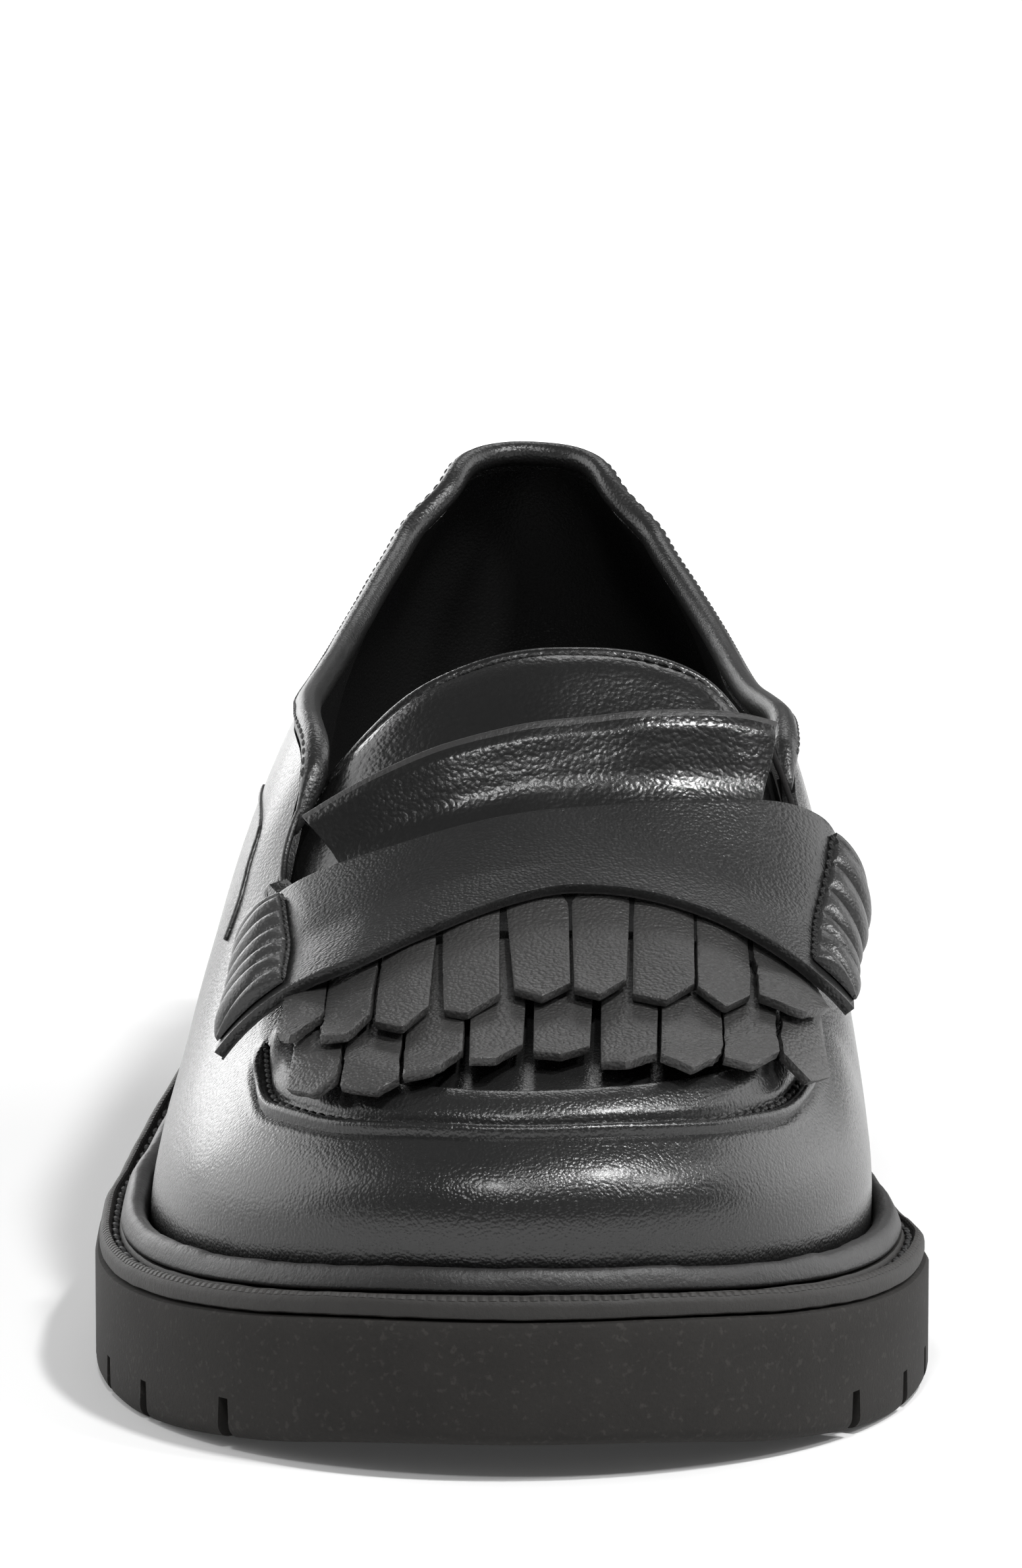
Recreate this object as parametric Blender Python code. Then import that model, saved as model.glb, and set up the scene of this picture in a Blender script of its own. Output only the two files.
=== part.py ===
"""Right kiltie loafer on a lug platform sole, modelled empty and standing on the floor.

Units are metres and +Z is up. The toe points to -Y and the heel to +Y. The medial side is +X and the
lateral side is -X. The origin is on the floor under the middle of the sole. A station is a value of Y.
"""

import math
from collections import namedtuple

import bmesh
import bpy
from mathutils import Matrix, Vector
from mathutils.bvhtree import BVHTree
from mathutils.interpolate import poly_3d_calc

# Last and plan
TOE_CENTRE = -0.070
TOE_LENGTH = 0.0585
TOE_POWER = {"lateral": 2.0, "medial": 2.15}
TOE_FRONT_POWER = 4.8
TOE_SWELL = 0.0010
HEEL_CENTRE = 0.101
HEEL_LENGTH = 0.029
HEEL_POWER = 2.1
HEEL_BACK_POWER = 4.0
HEEL_BACK_FADE = 6
HEEL_SWELL = 0.0030
THROAT = -0.066
EYE = 0.030

# Sole
OUTSOLE_LIP = 0.0007
WELT_THICKNESS = 0.0026
STEP_BACK = 0.00065
GROOVE_DEPTH = 0.0008
RAND_SHARE = 0.53
INSOLE_THICKNESS = 0.0030
INSOLE_EDGE = 0.0005
HEEL_BREAST = 0.046
HEEL_HEIGHT = 0.0187
NOTCH_WIDTH = 0.0030
NOTCH_LENGTH = 0.011
NOTCH_HEIGHT = 0.0050
CHANNEL_DEPTH = 0.0025
CHANNEL_SHARE = 0.5

# Upper's overlays
WALL = 0.0020
TONGUE_THICKNESS = 0.0026
TONGUE_DEPTH = (0.0009, 0.0016)
TONGUE_TOP = -0.0300
TONGUE_FOOT = -0.0880
TONGUE_DROP = -0.0060
TONGUE_ANGLES = (-51.0, 40.0)
STRAP_THICKNESS = 0.0016
STRAP_STEP = 0.03
ROLL_SPAN = (0.012, 0.115)
ROLL_LENGTH = (0.05, 0.93)
ROLL_HEIGHT = 0.0020
ROLL_PUFFS = 6
ROLL_SLANT = 0.8
COLLAR_WIDTH = 0.0036
COLLAR_HEIGHT = 0.0040
COLLAR_SHIFT = -0.0006
COLLAR_SIDES = 6
COLLAR_TAPER = 3
GORE_THICKNESS = 0.0010
GORE_STATIONS = (-0.026, 0.018)
GORE_ANGLES = {"lateral": (-60.0, -46.0), "medial": (38.0, 54.0)}
FRINGE_STRIPS = 9
FRINGE_SLIT = 0.014

# Colours
LEATHER = (0.012, 0.012, 0.013)
RUBBER = (0.022, 0.020, 0.019)
LINING = (0.010, 0.010, 0.010)

# Gaps left between pieces that touch, flat and curved
GAP = 0.0003
CLEARANCE = 0.00045

# Mesh
RIGHT_ANGLE = math.pi / 2
PROFILE_STEPS = 97
SKIN_ROWS = 56
MERGE = 0.00001
HEEL_RIBS = 6
TOE_RIBS = 10

# The feather line, where the upper meets the sole, between the toe cap and the heel seat
Plan = namedtuple("Plan", "station lateral medial")
PLAN = [
    Plan(-0.070, -0.0462, 0.0460),
    Plan(-0.056, -0.0461, 0.0452),
    Plan(-0.038, -0.0444, 0.0434),
    Plan(-0.018, -0.0420, 0.0408),
    Plan(0.002, -0.0388, 0.0383),
    Plan(0.022, -0.0358, 0.0366),
    Plan(0.042, -0.0332, 0.0357),
    Plan(0.062, -0.0312, 0.0353),
    Plan(0.082, -0.0300, 0.0352),
    Plan(0.101, -0.0296, 0.0352),
]

# Width of the sole outside the feather line
Ledge = namedtuple("Ledge", "station lateral medial")
LEDGE = [
    Ledge(-0.136, 0.0075, 0.0075),
    Ledge(-0.078, 0.0072, 0.0077),
    Ledge(-0.064, 0.0074, 0.0054),
    Ledge(-0.045, 0.0077, 0.0045),
    Ledge(-0.026, 0.0080, 0.0041),
    Ledge(0.010, 0.0076, 0.0043),
    Ledge(0.050, 0.0064, 0.0054),
    Ledge(0.100, 0.0060, 0.0060),
    Ledge(0.136, 0.0060, 0.0060),
]

# Height of the surface on which the upper stands
Seat = namedtuple("Seat", "station height")
SEAT = [
    Seat(-0.136, 0.0231),
    Seat(-0.121, 0.0211),
    Seat(-0.106, 0.0195),
    Seat(-0.091, 0.0187),
    Seat(-0.082, 0.0186),
    Seat(-0.046, 0.0186),
    Seat(-0.026, 0.0198),
    Seat(-0.006, 0.0226),
    Seat(0.014, 0.0260),
    Seat(0.034, 0.0293),
    Seat(0.054, 0.0320),
    Seat(0.074, 0.0341),
    Seat(0.094, 0.0352),
    Seat(0.114, 0.0356),
    Seat(0.136, 0.0356),
]

# Underside of the outsole: toe spring, ball, waist and heel seat
Tread = namedtuple("Tread", "station height")
TREAD = [
    Tread(-0.136, 0.0046),
    Tread(-0.122, 0.0021),
    Tread(-0.108, 0.0005),
    Tread(-0.098, 0.0),
    Tread(-0.040, 0.0),
    Tread(-0.020, 0.0012),
    Tread(0.000, 0.0056),
    Tread(0.022, 0.0124),
    Tread(0.038, 0.0190),
    Tread(0.136, 0.0190),
]

# The last's crown line, seen from the side, and its offset to the medial side
Crown = namedtuple("Crown", "station height offset")
CROWN = [
    Crown(-0.136, 0.0416, 0.0020),
    Crown(-0.122, 0.0430, 0.0025),
    Crown(-0.114, 0.0440, 0.0030),
    Crown(-0.102, 0.0464, 0.0040),
    Crown(-0.090, 0.0503, 0.0052),
    Crown(-0.074, 0.0578, 0.0064),
    Crown(-0.058, 0.0668, 0.0070),
    Crown(-0.044, 0.0785, 0.0066),
    Crown(-0.031, 0.0893, 0.0060),
    Crown(-0.016, 0.0955, 0.0050),
    Crown(0.004, 0.0975, 0.0040),
    Crown(0.044, 0.0975, 0.0030),
    Crown(0.136, 0.0982, 0.0028),
]

# Fullness of the cross-section on each side, and how far the wall swells past the feather line
Section = namedtuple("Section", "station lateral medial swell")
SECTION = [
    Section(-0.070, 1.88, 2.42, 0.0006),
    Section(-0.054, 1.84, 3.05, 0.0004),
    Section(-0.031, 2.00, 3.35, 0.0002),
    Section(-0.016, 2.02, 3.30, 0.0004),
    Section(0.014, 2.05, 2.85, 0.0008),
    Section(0.049, 1.98, 2.35, 0.0012),
    Section(0.084, 1.78, 1.84, 0.0015),
    Section(0.101, 1.70, 1.70, 0.0015),
]

# Height of the upper's top edge on each side
Topline = namedtuple("Topline", "station lateral medial")
TOPLINE = [
    Topline(-0.056, 0.0602, 0.0630),
    Topline(-0.048, 0.0640, 0.0680),
    Topline(-0.040, 0.0650, 0.0715),
    Topline(-0.031, 0.0657, 0.0730),
    Topline(-0.011, 0.0670, 0.0722),
    Topline(0.014, 0.0680, 0.0712),
    Topline(0.044, 0.0696, 0.0710),
    Topline(0.074, 0.0728, 0.0732),
    Topline(0.092, 0.0762, 0.0763),
    Topline(0.109, 0.0818, 0.0812),
    Topline(0.121, 0.0882, 0.0874),
    Topline(0.130, 0.0919, 0.0917),
]

# Height of the apron seam on each side
Seam = namedtuple("Seam", "station lateral medial")
SEAM = [
    Seam(-0.1285, 0.0404, 0.0404),
    Seam(-0.118, 0.0396, 0.0396),
    Seam(-0.108, 0.0395, 0.0393),
    Seam(-0.098, 0.0412, 0.0404),
    Seam(-0.088, 0.0428, 0.0425),
    Seam(-0.076, 0.0445, 0.0450),
    Seam(-0.062, 0.0458, 0.0468),
    Seam(-0.044, 0.0468, 0.0480),
    Seam(0.000, 0.0490, 0.0510),
    Seam(0.100, 0.0520, 0.0520),
    Seam(0.130, 0.0600, 0.0600),
]
SEAM_FADE = (-0.093, -0.081)

# Cross-section of the apron seam, by distance up the last from its lip
Moc = namedtuple("Moc", "distance height")
MOC = [
    Moc(-0.0028, 0.0),
    Moc(-0.0005, 0.0010),
    Moc(0.0003, 0.0010),
    Moc(0.0009, 0.0),
    Moc(0.0018, 0.0),
    Moc(0.0045, 0.0014),
    Moc(0.0072, 0.0020),
    Moc(0.0130, 0.0),
]

TONGUE_ROWS = (0.0, 0.02, 0.05, 0.12, 0.2, 0.3, 0.4, 0.5, 0.6, 0.72, 0.86, 1.0)
TONGUE_COLUMNS = (0.0, 0.03, 0.1, 0.2, 0.3, 0.4, 0.5, 0.6, 0.7, 0.8, 0.9, 0.97, 1.0)

# Rows of the upper, as shares of the way below the seam and above it, and the inside's choice of rows
LOW_ROWS = (0.0, 0.15, 0.35, 0.58, 0.8)
HIGH_ROWS = (0.3, 0.65, 1.0)
INNER_ROWS = (0, 2, 4, 8, 12, 14, 15)
UPPER_STATIONS = (
    [0.101, 0.089, 0.077, 0.062, 0.047, 0.032, 0.017, 0.002, -0.012, -0.024, -0.035]
    + [-0.044, -0.051, -0.0565, -0.061, -0.064, -0.0655, THROAT, TOE_CENTRE]
)
COLLAR_STATIONS = (
    [0.101, 0.093, 0.085, 0.076, 0.066, 0.056, 0.046, 0.034, 0.022, 0.010]
    + [-0.002, -0.012, -0.020, -0.028, -0.033, -0.037, -0.040]
)

# The strap's front and rear edge from its lateral end to its medial end, as seen from inside the shoe,
# with the height of the strap's underside above the upper
Strap = namedtuple("Strap", "share front front_angle front_height rear rear_angle rear_height")
STRAP = [
    Strap(0.0, -0.0838, -76.0, 0.0024, -0.0535, -63.0, 0.0010),
    Strap(0.08, -0.0868, -67.0, 0.0048, -0.0545, -56.0, 0.0026),
    Strap(0.16, -0.0868, -57.0, 0.0054, -0.0575, -49.0, 0.0042),
    Strap(0.32, -0.0816, -36.0, 0.0045, -0.0606, -29.0, 0.0045),
    Strap(0.54, -0.0738, 4.0, 0.0045, -0.0596, 1.0, 0.0045),
    Strap(0.72, -0.0758, 34.0, 0.0046, -0.0565, 24.0, 0.0046),
    Strap(0.86, -0.0792, 55.0, 0.0052, -0.0500, 40.0, 0.0047),
    Strap(0.93, -0.0802, 61.0, 0.0054, -0.0478, 47.0, 0.0028),
    Strap(1.0, -0.0802, 67.0, 0.0052, -0.0465, 55.0, 0.0008),
]

# Stations of the fringes' tips across the kiltie, from its lateral edge to its medial edge
Fringe = namedtuple("Fringe", "share upper lower")
FRINGE = [
    Fringe(0.0, -0.0965, -0.1045),
    Fringe(0.15, -0.0975, -0.1062),
    Fringe(0.35, -0.0952, -0.1062),
    Fringe(0.55, -0.0944, -0.1055),
    Fringe(0.75, -0.0935, -0.1058),
    Fringe(0.90, -0.0885, -0.1005),
    Fringe(1.0, -0.0838, -0.0930),
]

# Cross-sections of the sole pieces at their edge, from the floor up, as insets from the sole's outline.
# Heights are from the floor for the heel, up from the tread for the outsole's first two rows and down
# from the upper's seat otherwise
Edge = namedtuple("Edge", "inset height")
HEEL_EDGE = [
    Edge(0.0034, 0.0),
    Edge(0.0020, 0.0012),
    Edge(0.0010, HEEL_HEIGHT - 0.0005),
    Edge(0.0014, HEEL_HEIGHT),
]
TREAD_EDGE = [Edge(0.0014, 0.0), Edge(0.0002, 0.0011)]
OUTSOLE_EDGE = [Edge(0.0, -OUTSOLE_LIP), Edge(0.0008, 0.0)]
WELT_EDGE = [
    Edge(0.0003, -WELT_THICKNESS),
    Edge(0.0, 0.0003 - WELT_THICKNESS),
    Edge(0.0, -0.0005),
    Edge(0.0005, 0.0),
    Edge(0.0011, 0.0),
    Edge(0.0014, -GROOVE_DEPTH),
    Edge(0.0021, -GROOVE_DEPTH),
    Edge(0.0024, 0.0),
]

# Cross-section of the rand, as a share of the welt's free width and a height
Rand = namedtuple("Rand", "share height")
RAND = [
    Rand(0.06, 0.0),
    Rand(0.15, 0.0021),
    Rand(0.45, 0.0030),
    Rand(0.76, 0.0027),
    Rand(1.00, 0.0010),
    Rand(0.94, 0.0),
]

# The kiltie from its upper tips over the fold to its lower tips. A row lies at its own station, or by
# reach as a share of the way from there to the tips. Heights are above the upper's surface, bend moves
# the outer face and slant the medial end to the rear, and point cuts back the corners of each strip.
Kiltie = namedtuple("Kiltie", "layer station reach bend outside inside lateral medial slant point slit")
KILTIE = [
    Kiltie("upper", -0.073, 1.0, 0.0, 0.0049, 0.0037, -66.0, 61.0, 0.0, 0.0026, True),
    Kiltie("upper", -0.073, 0.75, 0.0, 0.0042, 0.0030, -62.0, 56.5, 0.0, 0.0, True),
    Kiltie("upper", -0.073, 0.40, 0.0, 0.0039, 0.0027, -55.5, 51.0, 0.0, 0.0, True),
    Kiltie("upper", -0.071, 0.0, 0.0, 0.0038, 0.0026, -50.5, 44.5, 0.0, 0.0, True),
    Kiltie("upper", -0.057, 0.0, 0.0, 0.0041, 0.0029, -43.0, 33.0, 0.005, 0.0, False),
    Kiltie("upper", -0.0530, 0.0, 0.0, 0.0053, 0.0041, -41.5, 31.0, 0.006, 0.0, False),
    Kiltie("upper", -0.0505, 0.0, 0.0, 0.0063, 0.0052, -41.0, 29.5, 0.006, 0.0, False),
    Kiltie("fold", -0.0498, 0.0, 0.0010, 0.0060, 0.0050, -41.0, 29.0, 0.006, 0.0, False),
    Kiltie("fold", -0.0498, 0.0, 0.0013, 0.0041, 0.0045, -41.0, 29.0, 0.006, 0.0, False),
    Kiltie("lower", -0.0510, 0.0, 0.0, 0.0029, 0.0041, -41.0, 29.5, 0.006, 0.0, False),
    Kiltie("lower", -0.057, 0.0, 0.0, 0.0012, 0.0024, -43.0, 33.0, 0.005, 0.0, False),
    Kiltie("lower", -0.073, 0.0, 0.0, 0.0010, 0.0022, -52.0, 45.0, 0.0, 0.0, False),
    Kiltie("lower", -0.073, 0.35, 0.0, 0.0012, 0.0024, -59.0, 54.0, 0.0, 0.0, True),
    Kiltie("lower", -0.073, 0.65, 0.0, 0.0012, 0.0024, -65.0, 62.0, 0.0, 0.0, True),
    Kiltie("lower", -0.073, 0.85, 0.0, 0.0014, 0.0026, -68.0, 68.0, 0.0, 0.0, True),
    Kiltie("lower", -0.073, 1.0, 0.0, 0.0017, 0.0029, -70.0, 72.0, 0.0, 0.0028, True),
]

# Side notches of the treads, by station
NOTCHES = {
    "lateral": [-0.1200, -0.1035, -0.090, -0.075, -0.060, -0.045, -0.030],
    "medial": [-0.1125, -0.098, -0.084, -0.069, -0.054, -0.039, -0.024],
}
HEEL_NOTCHES = [0.060, 0.078, 0.096, 0.114]
CHANNELS = [-0.104, -0.089, -0.074, -0.059, -0.044]
HEEL_CHANNELS = [0.069, 0.087, 0.105]


# A rib runs from the feather line up to the crown line
Rib = namedtuple("Rib", "foot top power swell side")


def side_name(side):
    return "lateral" if side < 0 else "medial"


def smooth(table, station, column):
    """Value of a table's column at a station, on a curve that never overshoots its rows."""
    xs = [row[0] for row in table]
    ys = [getattr(row, column) for row in table]
    if station <= xs[0]:
        return ys[0]
    if station >= xs[-1]:
        return ys[-1]
    steps = [(b - a) / (q - p) for p, q, a, b in zip(xs, xs[1:], ys, ys[1:])]
    slopes = [0.0]
    for before, after in zip(steps, steps[1:]):
        slopes.append(2 * before * after / (before + after) if before * after > 0 else 0.0)
    slopes.append(0.0)
    i = max(k for k, x in enumerate(xs) if x <= station)
    width = xs[i + 1] - xs[i]
    t = (station - xs[i]) / width
    return (
        ys[i] * (1 + 2 * t) * (1 - t) ** 2
        + ys[i + 1] * t * t * (3 - 2 * t)
        + width * slopes[i] * t * (1 - t) ** 2
        - width * slopes[i + 1] * t * t * (1 - t)
    )


def mix(a, b, share):
    return a + (b - a) * share


def ease(value, start, end):
    """0 before start, 1 after end and a soft step between them."""
    t = min(1.0, max(0.0, (value - start) / (end - start)))
    return t * t * (3 - 2 * t)


def even(start, end, count):
    return [mix(start, end, k / (count - 1)) for k in range(count)]


def seat(station):
    return smooth(SEAT, station, "height")


def cap_rib(turn, side, toe):
    """A rib of the toe cap or the heel seat. turn is 0 in its middle and a right angle at the side."""
    name = side_name(side)
    centre = TOE_CENTRE if toe else HEEL_CENTRE
    length = -TOE_LENGTH if toe else HEEL_LENGTH
    power = TOE_POWER[name] if toe else HEEL_POWER
    edge = PLAN[0] if toe else PLAN[-1]
    middle = 0.0 if toe else (edge.lateral + edge.medial) / 2
    across = math.sin(turn) ** (2 / power)
    along = math.cos(turn) ** (2 / power)
    foot = Vector((mix(middle, getattr(edge, name), across), centre + length * along))
    top = Vector((smooth(CROWN, centre, "offset"), centre))
    section = SECTION[0] if toe else SECTION[-1]
    fullness = mix(getattr(section, name), TOE_FRONT_POWER, along**2)
    if not toe:
        fullness = mix(getattr(section, name), HEEL_BACK_POWER, along**HEEL_BACK_FADE)
    return Rib(foot, top, fullness, mix(section.swell, TOE_SWELL if toe else HEEL_SWELL, along), side)


def side_rib(station, side):
    name = side_name(side)
    foot = Vector((smooth(PLAN, station, name), station))
    top = Vector((smooth(CROWN, station, "offset"), station))
    return Rib(foot, top, smooth(SECTION, station, name), smooth(SECTION, station, "swell"), side)


def rib_point(rib, lift):
    """The last's surface on a rib. lift is 0 at the feather line and a right angle at the crown line."""
    height = math.sin(lift) ** (2 / rib.power)
    reach = max(0.0, math.cos(lift)) ** (2 / rib.power)
    out = rib.foot - rib.top
    reach += rib.swell / out.length * math.sin(math.pi * height)
    plan = rib.top + out * reach
    return Vector((plan.x, plan.y, mix(seat(rib.foot.y), smooth(CROWN, plan.y, "height"), height)))


def ribs(side, heel_steps, stations, toe_steps):
    """Ribs of one side, from the middle of the heel round to the tip of the toe."""
    found = [cap_rib(RIGHT_ANGLE * k / heel_steps, side, False) for k in range(heel_steps)]
    found += [side_rib(station, side) for station in stations]
    found += [cap_rib(RIGHT_ANGLE * k / toe_steps, side, True) for k in reversed(range(toe_steps))]
    return found


def ring(heel_steps, stations, toe_steps):
    """Ribs all the way round, from the heel by the lateral side to the toe and back by the medial side."""
    back = ribs(1, heel_steps, stations, toe_steps)[1:-1]
    return ribs(-1, heel_steps, stations, toe_steps) + back[::-1]


class Profile:
    """One rib as a fine line, on which places are found by height or by distance along it."""

    def __init__(self, rib):
        self.rib = rib
        self.points = [rib_point(rib, lift) for lift in even(0.0, RIGHT_ANGLE, PROFILE_STEPS)]
        self.lengths = [0.0]
        for a, b in zip(self.points, self.points[1:]):
            self.lengths.append(self.lengths[-1] + (b - a).length)
        name = side_name(rib.side)
        self.seam = self.length_at(smooth(SEAM, rib.foot.y, name))
        rim = self.length_at(smooth(TOPLINE, rib.foot.y, name))
        closing = (rib.foot.y - THROAT) / (TOPLINE[0].station - THROAT)
        share = math.sqrt(1 - (1 - min(1.0, closing)) ** 2) if closing > 0 else 0.0
        self.end = mix(self.lengths[-1], rim, share)
        self.raised = 1 - ease(rib.foot.y, *SEAM_FADE)

    def length_at(self, height):
        for k, point in enumerate(self.points[1:], 1):
            if point.z >= height:
                low = self.points[k - 1].z
                return mix(self.lengths[k - 1], self.lengths[k], (height - low) / (point.z - low))
        return self.lengths[-1]

    def point(self, length):
        k = next((i for i, end in enumerate(self.lengths[1:]) if end >= length), PROFILE_STEPS - 2)
        share = (length - self.lengths[k]) / (self.lengths[k + 1] - self.lengths[k])
        return self.points[k].lerp(self.points[k + 1], min(1.0, max(0.0, share)))

    def moc(self, length):
        """Height of the apron seam's lip, groove and ridge above the last."""
        return self.raised * smooth(MOC, length - self.seam, "height")


class Skin:
    """A fine mesh of the last, with or without the apron seam, on which rays find points."""

    def __init__(self, raised):
        self.form = bmesh.new()
        lines = [Profile(rib) for rib in ring(12, even(HEEL_CENTRE, TOE_CENTRE, 60), 24)]
        columns = []
        for line in lines:
            lengths = [line.lengths[-1] * k / SKIN_ROWS for k in range(SKIN_ROWS + 1)]
            columns.append([self.form.verts.new(line.point(length)) for length in lengths])
        for a, b in zip(columns, columns[1:] + columns[:1]):
            for r in range(SKIN_ROWS):
                self.form.faces.new([a[r], b[r], b[r + 1], a[r + 1]])
        self.form.normal_update()
        if raised:
            shifts = [
                (vert, vert.normal * line.moc(line.lengths[-1] * r / SKIN_ROWS))
                for line, column in zip(lines, columns)
                for r, vert in enumerate(column)
            ]
            for vert, shift in shifts:
                vert.co += shift
        bmesh.ops.remove_doubles(self.form, verts=self.form.verts, dist=MERGE)
        bmesh.ops.recalc_face_normals(self.form, faces=self.form.faces)
        self.form.normal_update()
        self.form.faces.ensure_lookup_table()
        self.tree = BVHTree.FromBMesh(self.form)

    def normal(self, point, index):
        face = self.form.faces[index]
        shares = poly_3d_calc([vert.co for vert in face.verts], point)
        return sum((vert.normal * share for vert, share in zip(face.verts, shares)), Vector()).normalized()

    def at(self, station, angle, offset):
        """Point offset from the surface, seen from inside the shoe at an angle off the vertical."""
        start = Vector((smooth(CROWN, station, "offset"), station, EYE))
        turn = math.radians(angle)
        hit, _, index, _ = self.tree.ray_cast(start, Vector((math.sin(turn), 0.0, math.cos(turn))))
        return hit + self.normal(hit, index) * offset

    def lift(self, point, offset):
        """A point of the surface moved along the surface's own normal."""
        hit, _, index, _ = self.tree.find_nearest(point)
        return point + self.normal(hit, index) * offset


def finish(name, body, colour, roughness):
    """Turns a bmesh into a named object with its own material."""
    bmesh.ops.remove_doubles(body, verts=body.verts, dist=MERGE)
    bmesh.ops.dissolve_degenerate(body, edges=body.edges, dist=MERGE)
    bmesh.ops.recalc_face_normals(body, faces=body.faces)
    mesh = bpy.data.meshes.new(name)
    body.to_mesh(mesh)
    body.free()
    obj = bpy.data.objects.new(name, mesh)
    bpy.context.scene.collection.objects.link(obj)
    material = bpy.data.materials.new(name)
    material.use_nodes = True
    shader = material.node_tree.nodes["Principled BSDF"]
    shader.inputs["Base Color"].default_value = (*colour, 1.0)
    shader.inputs["Roughness"].default_value = roughness
    mesh.materials.append(material)
    return obj


def sheet(outer, inner, missing=()):
    """A solid between two grids of points. missing is a set of cells left out as slits."""
    body = bmesh.new()
    made = {}

    def vert(layer, row, column):
        key = (layer, row, column)
        if key not in made:
            made[key] = body.verts.new((outer, inner)[layer][row][column])
        return made[key]

    cells = {(r, c) for r in range(len(outer) - 1) for c in range(len(outer[0]) - 1)} - set(missing)
    for row, column in sorted(cells):
        corners = [(row, column), (row + 1, column), (row + 1, column + 1), (row, column + 1)]
        body.faces.new([vert(0, *corner) for corner in corners])
        body.faces.new([vert(1, *corner) for corner in reversed(corners)])
        beside = [(row, column - 1), (row + 1, column), (row, column + 1), (row - 1, column)]
        for k, cell in enumerate(beside):
            if cell not in cells:
                a, b = corners[k], corners[(k + 1) % 4]
                body.faces.new([vert(0, *b), vert(0, *a), vert(1, *a), vert(1, *b)])
    return body


def upper(last):
    """The hollow upper, open underneath, at the collar and down the throat."""
    body = bmesh.new()
    outer_columns = []
    inner_columns = []
    for line in [Profile(rib) for rib in ring(HEEL_RIBS, UPPER_STATIONS, TOE_RIBS)]:
        low = [(line.seam + MOC[0].distance) * share for share in LOW_ROWS]
        high = [mix(line.seam + MOC[-1].distance, line.end, share) for share in HIGH_ROWS]
        lengths = low + [line.seam + row.distance for row in MOC] + high
        outer = [last.lift(line.point(length), line.moc(length)) for length in lengths]
        inner = [last.lift(line.point(lengths[row]), -WALL) for row in INNER_ROWS]
        inner[0].z = outer[0].z
        outer_columns.append([body.verts.new(point) for point in outer])
        inner_columns.append([body.verts.new(point) for point in inner])
    count = len(outer_columns)
    for k in range(count):
        a, b = outer_columns[k], outer_columns[(k + 1) % count]
        c, d = inner_columns[k], inner_columns[(k + 1) % count]
        for row in range(len(a) - 1):
            body.faces.new([a[row], b[row], b[row + 1], a[row + 1]])
        for row in range(len(c) - 1):
            body.faces.new([c[row], c[row + 1], d[row + 1], d[row]])
        body.faces.new([a[0], c[0], d[0], b[0]])
        if not covered(k, count):
            body.faces.new([a[-1], b[-1], d[-1], c[-1]])
    return body


def covered(k, count):
    """Whether the upper's columns k and k + 1 both end on the crown line, ahead of the throat."""
    half = count // 2
    steps = TOE_RIBS + sum(station <= THROAT for station in UPPER_STATIONS) - 1
    return half - steps <= k < half + steps


def outline(lines, offset):
    """The feather line moved outwards by a distance that depends on the station and the side."""
    feet = [rib.foot for rib in lines]
    moved = []
    for before, rib, after in zip(feet[-1:] + feet[:-1], lines, feet[1:] + feet[:1]):
        along = (after - before).normalized()
        moved.append(rib.foot + Vector((along.y, -along.x)) * offset(rib.foot.y, rib.side))
    return moved


def slab(lines, loops):
    """A closed solid from loops round the feather line, each an offset and a height above the floor."""
    body = bmesh.new()
    rings = []
    for offset, height in loops:
        rings.append([body.verts.new((p.x, p.y, height(p.y))) for p in outline(lines, offset)])
    close_rings(body, rings, len(lines))
    return body


def close_rings(body, rings, count):
    """Walls between rings and a ladder of faces across the first and the last of them."""
    for a, b in zip(rings, rings[1:]):
        for k in range(count):
            body.faces.new([a[k], a[(k + 1) % count], b[(k + 1) % count], b[k]])
    for loop in (rings[0], rings[-1]):
        for k in range(count // 2):
            corners = [loop[k], loop[k + 1], loop[-k - 1], loop[-k]]
            body.faces.new(list(dict.fromkeys(corners)))


def ledge(inset):
    return lambda station, side: smooth(LEDGE, station, side_name(side)) - inset


def above_seat(height):
    return lambda station: seat(station) + height


def sole_lines():
    return ring(HEEL_RIBS, even(HEEL_CENTRE, TOE_CENTRE, 14), TOE_RIBS)


def welt():
    loops = [(ledge(STEP_BACK + row.inset), above_seat(row.height - GAP)) for row in WELT_EDGE]
    return slab(sole_lines(), loops)


def outsole():
    """The slab under the welt: thick at the ball, sprung at the toe and raised in the waist."""

    def tread(rise):
        return lambda station: smooth(TREAD, station, "height") + rise

    top = -2 * GAP - WELT_THICKNESS
    loops = [(ledge(row.inset), tread(row.height)) for row in TREAD_EDGE]
    loops.append((ledge(0.0), lambda station: (tread(0.0)(station) + seat(station) + top) / 2))
    loops += [(ledge(row.inset), above_seat(top + row.height)) for row in OUTSOLE_EDGE]
    return slab(sole_lines(), loops)


def heel():
    """The heel block, cut off straight at its breast."""
    lateral = ribs(-1, HEEL_RIBS, even(HEEL_CENTRE, HEEL_BREAST, 6), 0)
    medial = ribs(1, HEEL_RIBS, even(HEEL_CENTRE, HEEL_BREAST, 6), 0)
    feet = [rib.foot for rib in lateral + medial[:0:-1]]
    corner = len(lateral) - 1
    count = len(feet)
    body = bmesh.new()
    rings = []
    for row in HEEL_EDGE:
        points = []
        for k, foot in enumerate(feet):
            before = foot if k == corner + 1 else feet[k - 1]
            after = foot if k == corner else feet[(k + 1) % count]
            along = (after - before).normalized()
            side = -1 if k <= corner else 1
            points.append(foot + Vector((along.y, -along.x)) * ledge(row.inset)(foot.y, side))
        rings.append([body.verts.new((p.x, p.y, row.height)) for p in points])
    close_rings(body, rings, count)
    return body


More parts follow.
